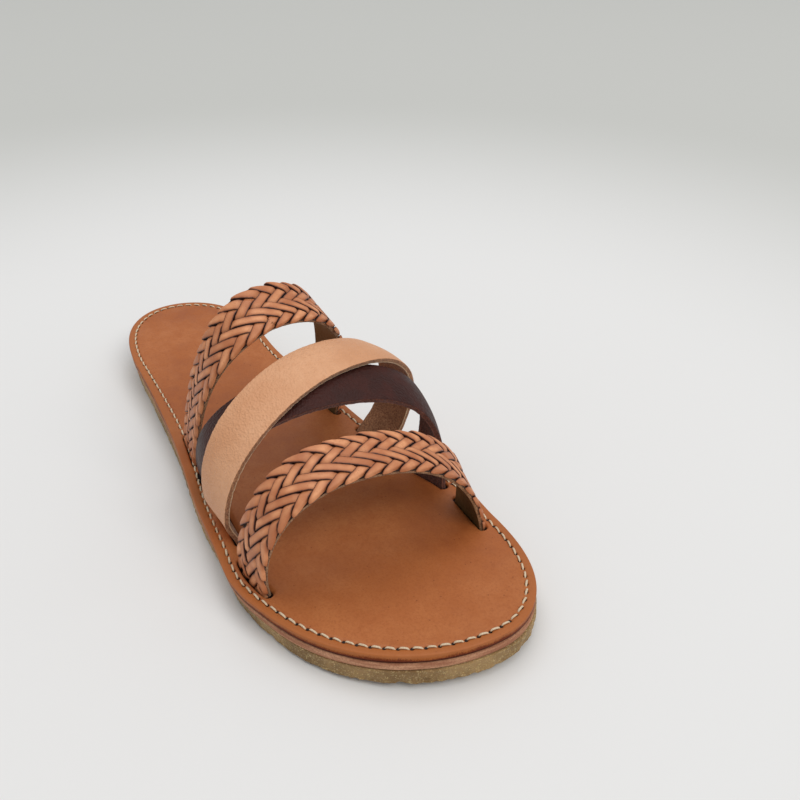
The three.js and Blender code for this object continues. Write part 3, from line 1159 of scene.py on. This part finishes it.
@dataclass
class Midsole(SoleLayer):
    """Pale leather midsole with a fibrous cut edge."""

    count: int = 1400
    seam: float = 0.25
    hollow: float = 0.12
    wander: Ripples = ((0.12, 5.0, 2.2),)
    fuzz: Ripples = ((0.08, 1.4, 6.1),)

    def levels(self) -> list[Level]:
        """Rings from the underside up the faintly bulging cut edge and in over the top.

        Returns:
            The rings.
        """
        base, top = self.form.crepe_top, raised(self.form.midsole_top, -self.seam)
        under = [Level(inset, base) for inset in (40, 8, 1.2)]
        wall = [Level(0.35, base, True)]
        for share in np.linspace(0.08, 0.92, 8):
            inset = 0.02 - self.hollow * math.sin(share * math.pi)
            wall.append(Level(inset, between(base, top, share), True))
        wall.append(Level(0.4, top, True))
        return under + wall + [Level(inset, top) for inset in (1.2, 8, 40)]

    def shape(self, points: Array, insets: Array, walls: Array) -> dict[str, Array]:
        """Lets the cut edge wander a little.

        Args:
            points: the layer's points, moved in place.
            insets: how far in from the edge each point lies.
            walls: 1 on the outer wall and 0 elsewhere.

        Returns:
            Values to store for the finish, by name.
        """
        points[:, 2] += walls * ripples(points, self.wander)
        points[:, 1] += walls * ripples(points, self.fuzz)
        return {}

    def build(self) -> Piece:
        """Builds and dresses the midsole."""
        return hand_over(self.layer("leather_midsole", RawEdge().build()), "midsole_leather", "midsole")


@dataclass
class RimStitching:
    """Cream stitches all round the footbed, each a short arched thread."""

    form: SoleForm
    count: int = 142
    inset: float = 3.3
    waist_inset: float = 1.4
    waist: tuple[float, float] = (112.0, 38.0)
    points_each: int = 24
    radius: float = 0.38
    length: float = 3.3
    rise: float = 0.16
    dip: float = 0.6
    taper: float = 0.35
    flatness: float = 0.8
    turn_degrees: float = -7
    wobble_degrees: float = 3
    spread: float = 0.05
    seed: int = 5
    steps: int = 8
    sides: int = 8

    def line(self) -> Array:
        """Line of the stitching on the footbed, farther from the edge at the outer waist.

        Returns:
            The points of the closed line, the same number for each stitch.
        """
        loop, normal = self.form.rim(self.count * self.points_each)
        middle, reach = self.waist
        waist = np.exp(-(((loop[:, 0] - middle) / reach) ** 2)) * (loop[:, 1] < 0)
        flat = loop - normal * (self.inset + self.waist_inset * waist)[:, None]
        return np.concatenate([flat, self.form.footbed(flat[:, 0])[:, None]], 1)

    def _stitch(self, finish: Material) -> Piece:
        """One stitch at the origin, along x, with both ends down in the leather.

        Args:
            finish: the thread.

        Returns:
            The object.
        """
        turns = np.arange(self.sides) / self.sides * 2 * math.pi
        rings = []
        for t in np.linspace(-1, 1, self.steps + 1):
            width = self.radius * (1 - self.taper * t**4)
            centre = (t * self.length / 2, 0.0, self.rise - self.dip * t**4)
            ring = np.stack([0 * turns, width * np.cos(turns), self.flatness * width * np.sin(turns)], -1)
            rings.append(ring + centre)
        end = self.steps * self.sides
        caps = [tuple(range(self.sides))[::-1], tuple(range(end, end + self.sides))]
        faces = ring_faces(self.sides, self.steps + 1) + caps
        return make_mesh("stitch", np.concatenate(rings) * MM, faces, [finish])

    def build(self) -> Piece:
        """Builds and dresses the stitching.

        Returns:
            The stitches as one piece.
        """
        finish = Thread().build()
        loop = np.roll(self.line(), -self.points_each // 2, axis=0)
        run = make_line("rim_stitching", self.form.place(loop), closed=True)
        turn, wobble = math.radians(self.turn_degrees), math.radians(self.wobble_degrees)
        values = {"Count": self.count, "Turn": turn, "Wobble": wobble}
        values |= {"Spread": self.spread, "Seed": self.seed, "Finish": finish}
        return hand_over(Repeater("stitch run").run(run, self._stitch(finish), values), "thread")


@dataclass(kw_only=True)
class Insole(SoleLayer):
    """Footbed with a burnished lip, awl holes between the stitches and slots for the straps."""

    stitching: RimStitching
    slots: Sequence[Array]
    count: int = 1800
    lip: float = 0.65
    hole_edge: tuple[float, float] = (0.3, 0.95)
    hole_depth: float = 0.5
    groove_width: float = 0.8
    groove_depth: float = 0.28
    groove_reach: float = 8.0
    slot_edge: tuple[float, float] = (1.3, 2.1)
    slot_depth: float = 1.6
    upper_from: float = 1.5  # height over the midsole from which a point is on the upper face
    waves: Ripples = ((0.12, 38.0, 1.7),)
    wave_edge: tuple[float, float] = (4, 20)

    def levels(self) -> list[Level]:
        """Rings up the edge, over the lip and in across the footbed, close along the stitching.

        Returns:
            The rings.
        """
        base, top = self.form.midsole_top, self.form.footbed
        under = [Level(inset, base) for inset in (40, 8, 1.0)]
        wall = [Level(0.3, base, True), Level(0.06, raised(base, 0.5), True)]
        wall.append(Level(0.0, raised(base, 1.4), True))
        for turn in np.linspace(0, math.pi / 2, 6):
            level = raised(top, -self.lip * (1 - math.sin(turn)))
            wall.append(Level(self.lip * (1 - math.cos(turn)), level, True))
        close = [1.0, 1.5, 2.0, 2.3, *np.arange(2.6, 5.61, 0.3)]
        wide = [6.0, 6.5, 7.0, 7.6, 8.3, 9.2, 10.5, 12, 14, 20, 28, 38, 50, 62, 74, 84, 91, 95.5, 98, 99.3]
        return under + wall + [Level(inset, top) for inset in close + wide]

    def _pits(self, points: Array, upper: Array, line: Array) -> Array:
        """Awl holes between the stitches.

        Args:
            points: the layer's points.
            upper: numbers of the points on the upper face.
            line: the stitch line.

        Returns:
            From 0 to 1 at each point.
        """
        pit = np.zeros(len(points))
        for hole in line[:: self.stitching.points_each]:
            near, away = distances(points, upper, hole[None], 2)
            pit[near] = np.maximum(pit[near], 1 - smoothstep(*self.hole_edge, away))
        return pit

    def _groove(self, points: Array, band: Array, line: Array) -> Array:
        """Groove that the thread draws into the leather.

        Args:
            points: the layer's points.
            band: numbers of the upper points near the stitch line.
            line: the stitch line.

        Returns:
            From 0 to 1 at each point.
        """
        nearest = np.full(len(points), np.inf)
        run = 60
        for start in range(0, len(line), run):
            near, away = distances(points, band, line[start : start + run + 1], 3)
            nearest[near] = np.minimum(nearest[near], away)
        return np.exp(-((nearest / self.groove_width) ** 2))

    def _slits(self, points: Array, upper: Array) -> Array:
        """Slots that the straps go down in.

        Args:
            points: the layer's points.
            upper: numbers of the points on the upper face.

        Returns:
            From 0 to 1 at each point.
        """
        slit = np.zeros(len(points))
        for line in self.slots:
            near, away = distances(points, upper, line, 4)
            slit[near] = np.maximum(slit[near], 1 - smoothstep(*self.slot_edge, away))
        return slit

    def shape(self, points: Array, insets: Array, walls: Array) -> dict[str, Array]:
        """Sinks the holes, groove and slots, and waves the footbed.

        Args:
            points: the layer's points, moved in place.
            insets: how far in from the edge each point lies.
            walls: 1 on the outer wall and 0 elsewhere.

        Returns:
            Values to store for the finish, by name.
        """
        above = points[:, 2] > self.form.midsole_top(points[:, 0]) + self.upper_from
        upper = np.nonzero(above)[0]
        line = self.stitching.line()
        pit = self._pits(points, upper, line)
        groove = self._groove(points, upper[insets[upper] < self.groove_reach], line)
        slit = self._slits(points, upper)
        points[:, 2] -= self.groove_depth * groove + self.hole_depth * pit
        points[:, 2] -= self.slot_depth * slit
        points[:, 2] += ripples(points, self.waves) * above * smoothstep(*self.wave_edge, insets)
        sunk = (self.form.footbed(points[:, 0]) - points[:, 2]) / self.form.insole
        # The value pit marks the awl holes and strap slots, where the finish paints shade.
        return {"pit": np.maximum(pit, slit), "drop": np.clip(sunk, 0, 1) * walls}

    def build(self) -> Piece:
        """Builds and dresses the insole.

        Returns:
            The insole.
        """
        finish = InsoleLeather(self.stitching.inset).build()
        return hand_over(self.layer("leather_insole", finish), "insole_leather", "insole")


def make_line(name: str, points: Array, closed: bool) -> Piece:
    """Object whose mesh is one run of edges.

    Args:
        name: the object's name.
        points: the points in order, in metres.
        closed: if the last point joins the first.

    Returns:
        The object.
    """
    count = len(points)
    edges = [(i, (i + 1) % count) for i in range(count if closed else count - 1)]
    mesh = bpy.data.meshes.new(name)
    mesh.from_pydata(points.tolist(), edges, [])
    run = bpy.data.objects.new(name, mesh)
    bpy.context.scene.collection.objects.link(run)
    return run


@dataclass(frozen=True)
class StrapSizes:
    """Sizes that plain and braided straps share."""

    width: float
    thickness: float
    tail: float = 5.0
    steps: int = 260


@dataclass
class Strap:
    """Strap on its route over the foot form."""

    name: str
    node: str
    route: Route
    foot: FootForm
    sizes: StrapSizes

    def angles(self, count: int) -> Array:
        """Angles from inside one slot to inside the other."""
        tail = self.sizes.tail / self.foot.instep
        return np.linspace(-tail, math.pi + tail, count)

    def slots(self) -> list[Array]:
        """Line of each of the strap's two slots in the footbed.

        Returns:
            The points of the outer slot's line and of the inner one's.
        """
        half = self.sizes.width / 2
        across = np.linspace(-half, half, 25)
        middle = self.sizes.thickness / 2
        return [self.foot.on_strap(self.route, end, across, middle) for end in (0.0, math.pi)]

    def band(
        self,
        section: Array,
        finishes: Sequence[Material],
        finish_of: Sequence[int],
        fray: Ripples,
        attributes: dict[str, Array] | None = None,
    ) -> Piece:
        """Closed band with one section all along.

        Args:
            section: points (offset, height) round the section.
            finishes: materials.
            finish_of: slot number for each side of the section.
            fray: how the cut edges are frayed.
            attributes: values for each point of the section.

        Returns:
            The object.
        """
        angles = self.angles(self.sizes.steps)
        rows, count = len(angles), len(section)
        grid = self.foot.on_strap(self.route, angles[:, None], section[None, :, 0], section[None, :, 1])
        points = grid.reshape(-1, 3)
        side = smoothstep(0.9, 1.0, np.abs(section[:, 0]) / (self.sizes.width / 2))
        away = (grid - grid.mean(axis=1, keepdims=True)).reshape(-1, 3)
        away /= np.maximum(np.linalg.norm(away, axis=1), TINY)[:, None]
        points = points + away * (np.tile(side, rows) * ripples(points, fray))[:, None]

        last = (rows - 1) * count
        faces = ring_faces(count, rows)
        faces += [tuple(range(count))[::-1], tuple(range(last, last + count))]
        slot_of = np.array([*np.tile(finish_of, rows - 1), finish_of[0], finish_of[0]])
        values = {key: np.tile(value, rows) for key, value in (attributes or {}).items()}
        place = self.foot.sole.place
        return make_mesh(self.name, place(points), faces, finishes, values, slot_of, 50)


def rounded_section(width: float, thickness: float, radius: float, across: int, corner: int = 4) -> Array:
    """Section of a flat band with rounded corners.

    Args:
        width: the band's width.
        thickness: its thickness.
        radius: radius of the corners.
        across: points along each flat side.
        corner: steps round each corner.

    Returns:
        Points (offset, height) from the back's heel side round by the toe side.
    """
    flat, top = width / 2 - radius, thickness - radius
    points = [(offset, 0.0) for offset in np.linspace(-flat, flat, across)]
    for quarter, (offset, height) in enumerate(((flat, radius), (flat, top), (-flat, top), (-flat, radius))):
        for turn in np.linspace(quarter - 1, quarter, corner + 1) * math.pi / 2:
            points.append((offset + radius * math.cos(turn), height + radius * math.sin(turn)))
        if quarter == 1:
            points += [(offset, thickness) for offset in np.linspace(flat, -flat, across)]
    ahead = [*points[1:], points[0]]
    return np.array([point for point, following in zip(points, ahead) if math.dist(point, following) > 1e-4])


@dataclass
class PlainStrap(Strap):
    """Strap cut from one band of leather, with a fibrous edge and back."""

    face: Leather
    back: Suede
    slot: str
    corner: float = 0.35
    grain_layer: float = 0.12
    fray: Ripples = ((0.2, 0.9, 4.4), (0.12, 2.6, 9.3))
    frill_height: float = 0.25
    frill_reach: float = 0.3

    def build(self) -> Piece:
        """Builds and dresses the strap.

        Returns:
            The strap.
        """
        half, thickness = self.sizes.width / 2, self.sizes.thickness
        section = rounded_section(2 * half, thickness, self.corner, 23)
        offset, height = section.T
        middle = (height + np.roll(height, -1)) / 2
        finish_of = [0 if z > thickness - self.grain_layer else 1 for z in middle]
        side = smoothstep(half - 0.5, half - 0.1, np.abs(offset))
        frill = side * np.exp(-(((height - self.frill_height) / self.frill_reach) ** 2))
        finishes = [self.face.build(), self.back.build()]
        piece = self.band(section, finishes, finish_of, self.fray, {"frill": frill})
        return hand_over(piece, self.slot, self.node)


@dataclass(frozen=True)
class Column:
    """Column of a flat braid: where it lies across, and how far its laces lean in pitches."""

    start: float
    end: float
    lean: float


LACE = Leather(
    "braided tan leather lace",
    base="#E59B6B",
    light="#F3B182",
    dark="#A65E38",
    edge="#36150D",
    mottle=6.0,
    grain=0.5,
    pores=1.2,
    pore_share=0.35,
    relief=0.1,
    roughness=0.5,
    gloss=0.4,
    lace=True,
)
LINING = Leather(
    "olive brown lining leather",
    base="#5F4A2C",
    light="#735B38",
    dark="#46331E",
    edge="#2E1C10",
    mottle=14.0,
    grain=0.9,
    pore_share=0.2,
    roughness=0.4,
)
LINING_EDGE = Suede("pale cut lining edge", "#B48A62", "#6E4628")
# Painted shade: the lining's face is near black so that the gaps between the laces look shaded.
LINING_GAP_SHADE = Suede("lining face painted as gap shade", "#2E140C", "#1C0B06")


@dataclass
class BraidedStrap(Strap):
    """Flat braid of leather laces on a lining.

    Each column's laces lie side by side at one lean. Inside the braid they tuck in under the
    next column, and at its two sides they end in round scallops.
    """

    seed: int
    lining: float = 1.4
    lining_corner: float = 0.25
    fray: Ripples = ((0.12, 0.9, 4.4), (0.072, 2.6, 9.3))
    lace: float = 1.3
    lace_sheet: float = 0.7
    bed: float = 0.1
    pitch: float = 6.8
    fill: float = 0.94
    tuck: float = 0.45
    dive: float = 0.5
    crown: float = 0.16
    arch: float = 0.05
    scallop: float = 0.55
    round_corner: float = 1.7
    corner_power: float = 2.5
    round_tip: float = 0.9
    tip_power: int = 12
    curl: float = 0.9
    wobble: float = 0.8
    spread: float = 0.02
    columns: tuple[Column, ...] = (
        Column(0, 0.21, 0.85),
        Column(0.21, 0.54, -1.6),
        Column(0.54, 0.78, 1.05),
        Column(0.78, 1, -0.8),
    )

    def _slope(self, k: int) -> float:
        """Lean of a column's laces along the strap for each millimetre across."""
        column = self.columns[k]
        return column.lean * self.pitch / ((column.end - column.start) * self.sizes.width)

    def _arc(self) -> tuple[Array, Array]:
        """Way along the strap's middle.

        Returns:
            Distances along it, and the angle at each.
        """
        angles = self.angles(700)
        line = self.foot.on_strap(self.route, angles, 0.0, self.lining)
        run = np.concatenate([[0], np.cumsum(np.linalg.norm(np.diff(line, axis=0), axis=1))])
        return run, angles

    def _cut(self, k: int, neighbour: int) -> float:
        """How far across a lace's end moves from its middle to its side, where it meets a neighbour.

        Args:
            k: the lace's column.
            neighbour: the column that it meets, which may lie past the braid's side.

        Returns:
            The distance, 0 at the braid's side.
        """
        if not 0 <= neighbour < len(self.columns):
            return 0.0
        return self.pitch / 2 / (self._slope(neighbour) - self._slope(k))

    def _rise(self, k: int, p: Array, q: Array, before: Array, after: Array) -> Array:
        """Height of a lace's top, as a share of its thickness.

        Args:
            k: its column.
            p: how far from its start to its end, from 0 to 1.
            q: how far to its side, from -1 to 1.
            before: how far across each point is from the start.
            after: how far across it is from the end.

        Returns:
            The share at each point.
        """
        rise = 1 - self.crown * np.abs(q) ** 5 - self.arch * (2 * p - 1) ** 2
        stretch = math.hypot(1, self._slope(k))
        hidden = self.tuck * stretch
        for outer, distance in ((k == 0, before), (k == len(self.columns) - 1, after)):
            if outer:
                t = np.clip(distance / self.curl, 0, 1)
                rise = rise * (0.1 + 0.9 * np.sqrt(1 - (1 - t) ** 2))
            else:
                rise = rise - self.dive * (1 - smoothstep(0.6 * hidden, hidden + 1.5, distance * stretch))
        return rise

    def _pad(self, k: int, finish: Material) -> Piece:
        """Visible stretch of one lace: along x, across y and height z, in millimetres.

        Args:
            k: its column.
            finish: the leather.

        Returns:
            The object, which stores how far each point is from the lace's cut rim.
        """
        column, width, slope = self.columns[k], self.sizes.width, self._slope(k)
        half = self.pitch / 2 * self.fill
        low, high = column.start * width, column.end * width
        p = np.linspace(0, 1, 23)[:, None]
        q = np.array([-1, -0.95, -0.86, -0.6, -0.3, 0, 0.3, 0.6, 0.86, 0.95, 1])[None, :]
        leaf = self.round_corner * ((1 + q) / 2) ** self.corner_power
        leaf = leaf + self.round_tip * ((1 - q) / 2) ** self.tip_power
        outer = (0, len(self.columns) - 1)
        first, last = (leaf - self.scallop if k == side else -self.tuck for side in outer)
        start = low + q * self._cut(k, k - 1) + first
        end = high + q * self._cut(k, k + 1) - last
        u = start + (end - start) * p
        v = slope * (u - low) + q * half

        ground = self.lining - self.bed
        top = ground + (self.lace + self.bed) * self._rise(k, p, q, u - start, end - u)
        bottom = np.maximum(top - self.lace_sheet, ground - 0.2)
        flat = [np.stack([v, u, height], -1).reshape(-1, 3) for height in (top, bottom)]
        rim = (1 - np.abs(q)) * half / math.hypot(1, slope) + 0 * u
        values = {"rim": np.concatenate([rim.ravel(), np.zeros(rim.size)])}
        points = np.concatenate(flat) * MM
        return make_mesh(f"lace_{k}", points, sheet_faces(*u.shape), [finish], values, sharp=40)

    def _column(self, k: int, whole: float, repeat: Repeater, finish: Material) -> Piece:
        """All laces of one column, laid out flat along x.

        Args:
            k: the column.
            whole: length of the braid.
            repeat: the group that lays them in a row.
            finish: the leather.

        Returns:
            The laces as one object.
        """
        rows = math.floor(2 * whole / self.pitch) - 2
        margin = (whole - rows * self.pitch / 2) / 2
        start = sum(column.lean for column in self.columns[:k]) + (0.5 if k % 2 == 0 else 0.0)
        phase, half = margin + start * self.pitch, self.pitch / 2
        lean = self.columns[k].lean * self.pitch
        first = math.ceil((-phase - max(0.0, lean) - half) / self.pitch)
        last = math.floor((whole - phase - min(0.0, lean) + half) / self.pitch)
        line = np.zeros((2, 3))
        line[:, 0] = (phase + first * self.pitch, phase + last * self.pitch)
        run = make_line(f"{self.name}_column_{k}", line * MM, closed=False)
        values = {"Count": last - first + 1, "Turn": 0.0, "Wobble": math.radians(self.wobble)}
        values |= {"Spread": self.spread, "Seed": self.seed * 10 + k, "Finish": finish}
        return repeat.run(run, self._pad(k, finish), values)

    def _lining(self) -> Piece:
        """Lining under the laces: olive back, pale cut edge and a face painted near black as the shade
        between the laces.

        Returns:
            The object.
        """
        section = rounded_section(self.sizes.width - 0.2, self.lining, self.lining_corner, 19)
        height = (section[:, 1] + np.roll(section[:, 1], -1)) / 2
        finish_of = [0 if z < 0.1 else 2 if z > self.lining - self.lining_corner else 1 for z in height]
        finishes = [finish.build() for finish in (LINING, LINING_EDGE, LINING_GAP_SHADE)]
        return self.band(section, finishes, finish_of, self.fray)

    def build(self) -> Piece:
        """Builds and dresses the lining and the laces, and lays them on the foot form.

        Returns:
            The strap as one piece.
        """
        run, angles = self._arc()
        finish = LACE.build()
        repeat, whole = Repeater(f"{self.name} laces"), float(run[-1])
        laces = [self._column(k, whole, repeat, finish) for k in range(len(self.columns))]
        for part in laces:
            flat = mesh_points(part) / MM
            angle = np.interp(flat[:, 0], run, angles)
            across = self.sizes.width / 2 - flat[:, 1]
            laid = self.foot.on_strap(self.route, angle, across, flat[:, 2])
            part.data.vertices.foreach_set("co", self.foot.sole.place(laid).ravel())
            part.data.update()
        lining = self._lining()
        join([lining, *laces])
        return hand_over(lining, "braid_leather", self.node)


def sheet_faces(rows: int, columns: int) -> Faces:
    """Faces of a closed pad: a grid of points above, the same below, and the wall between.

    Args:
        rows: rows of the grid.
        columns: points in a row.

    Returns:
        The faces, facing out.
    """
    below = rows * columns
    faces: Faces = []
    for a in (i * columns + j for i in range(rows - 1) for j in range(columns - 1)):
        b = a + below
        faces.append((a, a + columns, a + columns + 1, a + 1))
        faces.append((b, b + 1, b + columns + 1, b + columns))
    left = [i * columns for i in range(rows)]
    far = [(rows - 1) * columns + j for j in range(1, columns)]
    right = [i * columns + columns - 1 for i in range(rows - 2, -1, -1)]
    border = left + far + right + list(range(columns - 2, 0, -1))
    for a, b in zip(border, border[1:] + border[:1]):
        faces.append((a + below, b + below, b, a))
    return faces


def join(objects: Sequence[Piece]) -> None:
    """Joins objects into the first one.

    Args:
        objects: the objects.
    """
    bpy.ops.object.select_all(action="DESELECT")
    for piece in objects:
        piece.select_set(True)
    bpy.context.view_layer.objects.active = objects[0]
    bpy.ops.object.join()
    bpy.ops.object.select_all(action="DESELECT")


@dataclass(frozen=True)
class Lamp:
    """Soft square light that faces the sandal. Places and sizes of the studio are metres."""

    name: str
    at: tuple[float, float, float]
    size: float
    power: float
    colour: str = "#FFFFFF"

    def build(self) -> None:
        """Hangs the light."""
        data = bpy.data.lights.new(self.name, "AREA")
        data.size, data.energy = self.size, self.power
        data.color = linear(self.colour)[:3]
        light = bpy.data.objects.new(self.name, data)
        bpy.context.scene.collection.objects.link(light)
        turn = (-Vector(self.at)).to_track_quat("-Z", "Y").to_matrix().to_4x4()
        light.matrix_world = Matrix.Translation(self.at) @ turn


@dataclass(frozen=True)
class Studio:
    """Pale floor, soft light and the photograph's camera."""

    camera_at: tuple[float, float, float] = (0.28022, -0.12813, 0.22375)
    aim: tuple[float, float, float] = (-0.01438, 0.07288, 0.00005)
    lens: float = 40.7
    sensor: float = 36.0
    roll: float = 0.37
    floor_size: float = 40.0
    floor_colour: str = "#E6E6E6"
    far_colour: str = "#C7C8C5"
    fall_off: tuple[float, float] = (0.2, 0.62)
    surround: str = "#F8F8F8"
    surround_strength: float = 0.54
    lamps: tuple[Lamp, ...] = (
        Lamp("overhead", (-0.9, 0.3, 4.2), 3.3, 63.0),
        Lamp("window", (2.7, 0.75, 3.3), 2.4, 60.0, "#FFFDF8"),
    )

    def floor(self) -> Piece:
        """Seamless paper floor that falls into shade away from the sandal.

        Returns:
            The floor.
        """
        s = Shader("matt studio paper", self.floor_colour)
        far = s.add("VectorMath", {"Vector": s.place}, operation="LENGTH")
        s.paint(self.far_colour, far, *self.fall_off)
        finish = s.finish({"Roughness": 0.9, "Specular IOR Level": 0.1})
        corners = self.floor_size * np.array(((-1, -1, 0), (1, -1, 0), (1, 1, 0), (-1, 1, 0)))
        return make_mesh("studio_floor", corners, [(0, 1, 2, 3)], [finish])

    def camera(self) -> None:
        """Puts the camera at the photograph's angle."""
        data = bpy.data.cameras.new("photo camera")
        data.lens, data.sensor_width = self.lens, self.sensor
        camera = bpy.data.objects.new("photo camera", data)
        bpy.context.scene.collection.objects.link(camera)
        aim = Vector(self.aim) - Vector(self.camera_at)
        turn = aim.to_track_quat("-Z", "Y").to_matrix().to_4x4()
        roll = Matrix.Rotation(math.radians(self.roll), 4, "Z")
        camera.matrix_world = Matrix.Translation(self.camera_at) @ turn @ roll
        bpy.context.scene.camera = camera

    def light(self) -> None:
        """Lights the sandal softly from above and behind, with an even surround."""
        world = bpy.data.worlds.new("soft surround")
        bpy.context.scene.world = world
        world.use_nodes = True
        background = next(node for node in world.node_tree.nodes if node.type == "BACKGROUND")
        background.inputs["Color"].default_value = linear(self.surround)
        background.inputs["Strength"].default_value = self.surround_strength
        for lamp in self.lamps:
            lamp.build()
        bpy.context.scene.view_settings.view_transform = "Standard"


def all_straps(foot: FootForm) -> tuple[Strap, ...]:
    """The four straps from the heel to the toe.

    Args:
        foot: the form that they lie on.

    Returns:
        The straps.
    """
    braid = StrapSizes(width=18.5, thickness=2.7)
    plain = StrapSizes(width=18.0, thickness=2.0)
    rear = Route(0.4573, 0.451, 0.0809, 0.007, foot.rear)
    under = Route(0.5467, 0.6972, 0.0323, 0.0074, foot.cross)
    over = Route(0.6447, 0.5763, 0.0087, 0.0123, foot.cross, lift=2.55)
    toe = Route(0.7493, 0.7969, 0.004, 0.0003, foot.toe)
    brown = Leather(
        "dark brown leather",
        base="#3B1A15",
        light="#46211B",
        dark="#301612",
        edge="#1A0C0A",
        mottle=7.0,
        grain=0.9,
        pore_share=0.3,
        relief=0.5,
        roughness=0.5,
        gloss=0.2,
    )
    natural = Leather(
        "natural leather",
        base="#DBA27A",
        light="#E4AF88",
        dark="#CF946B",
        edge="#8A5836",
        mottle=26.0,
        grain=0.8,
        pores=0.9,
        pore_share=0.25,
        relief=0.6,
        roughness=0.5,
    )
    brown_back = Suede("brown suede", "#7A4634", "#3A1C14", frill="#8A5A48")
    natural_back = Suede("natural suede", "#B8845E", "#744A30", frill="#E2C6A0")
    return (
        BraidedStrap("instep_braid", "instep_braid_strap", rear, foot, braid, seed=2),
        PlainStrap(
            "brown_strap",
            "brown_cross_strap",
            under,
            foot,
            plain,
            brown,
            brown_back,
            "brown_leather",
        ),
        PlainStrap(
            "natural_strap",
            "natural_cross_strap",
            over,
            foot,
            plain,
            natural,
            natural_back,
            "natural_leather",
        ),
        BraidedStrap("toe_braid", "toe_braid_strap", toe, foot, braid, seed=4),
    )


def main() -> None:
    """Builds the studio and the sandal, and reports each piece."""
    studio = Studio()
    studio.floor()
    studio.camera()
    studio.light()

    form = SoleForm()
    straps = all_straps(FootForm(form))
    stitching = RimStitching(form)
    slots = [line for strap in straps for line in strap.slots()]
    insole = Insole(form=form, stitching=stitching, slots=slots)
    for part in (Outsole(form), Midsole(form), insole, stitching, *straps):
        piece = part.build()
        log.info("%s: %d faces", piece.name, len(piece.data.polygons))


if __name__ == "__main__":
    main()
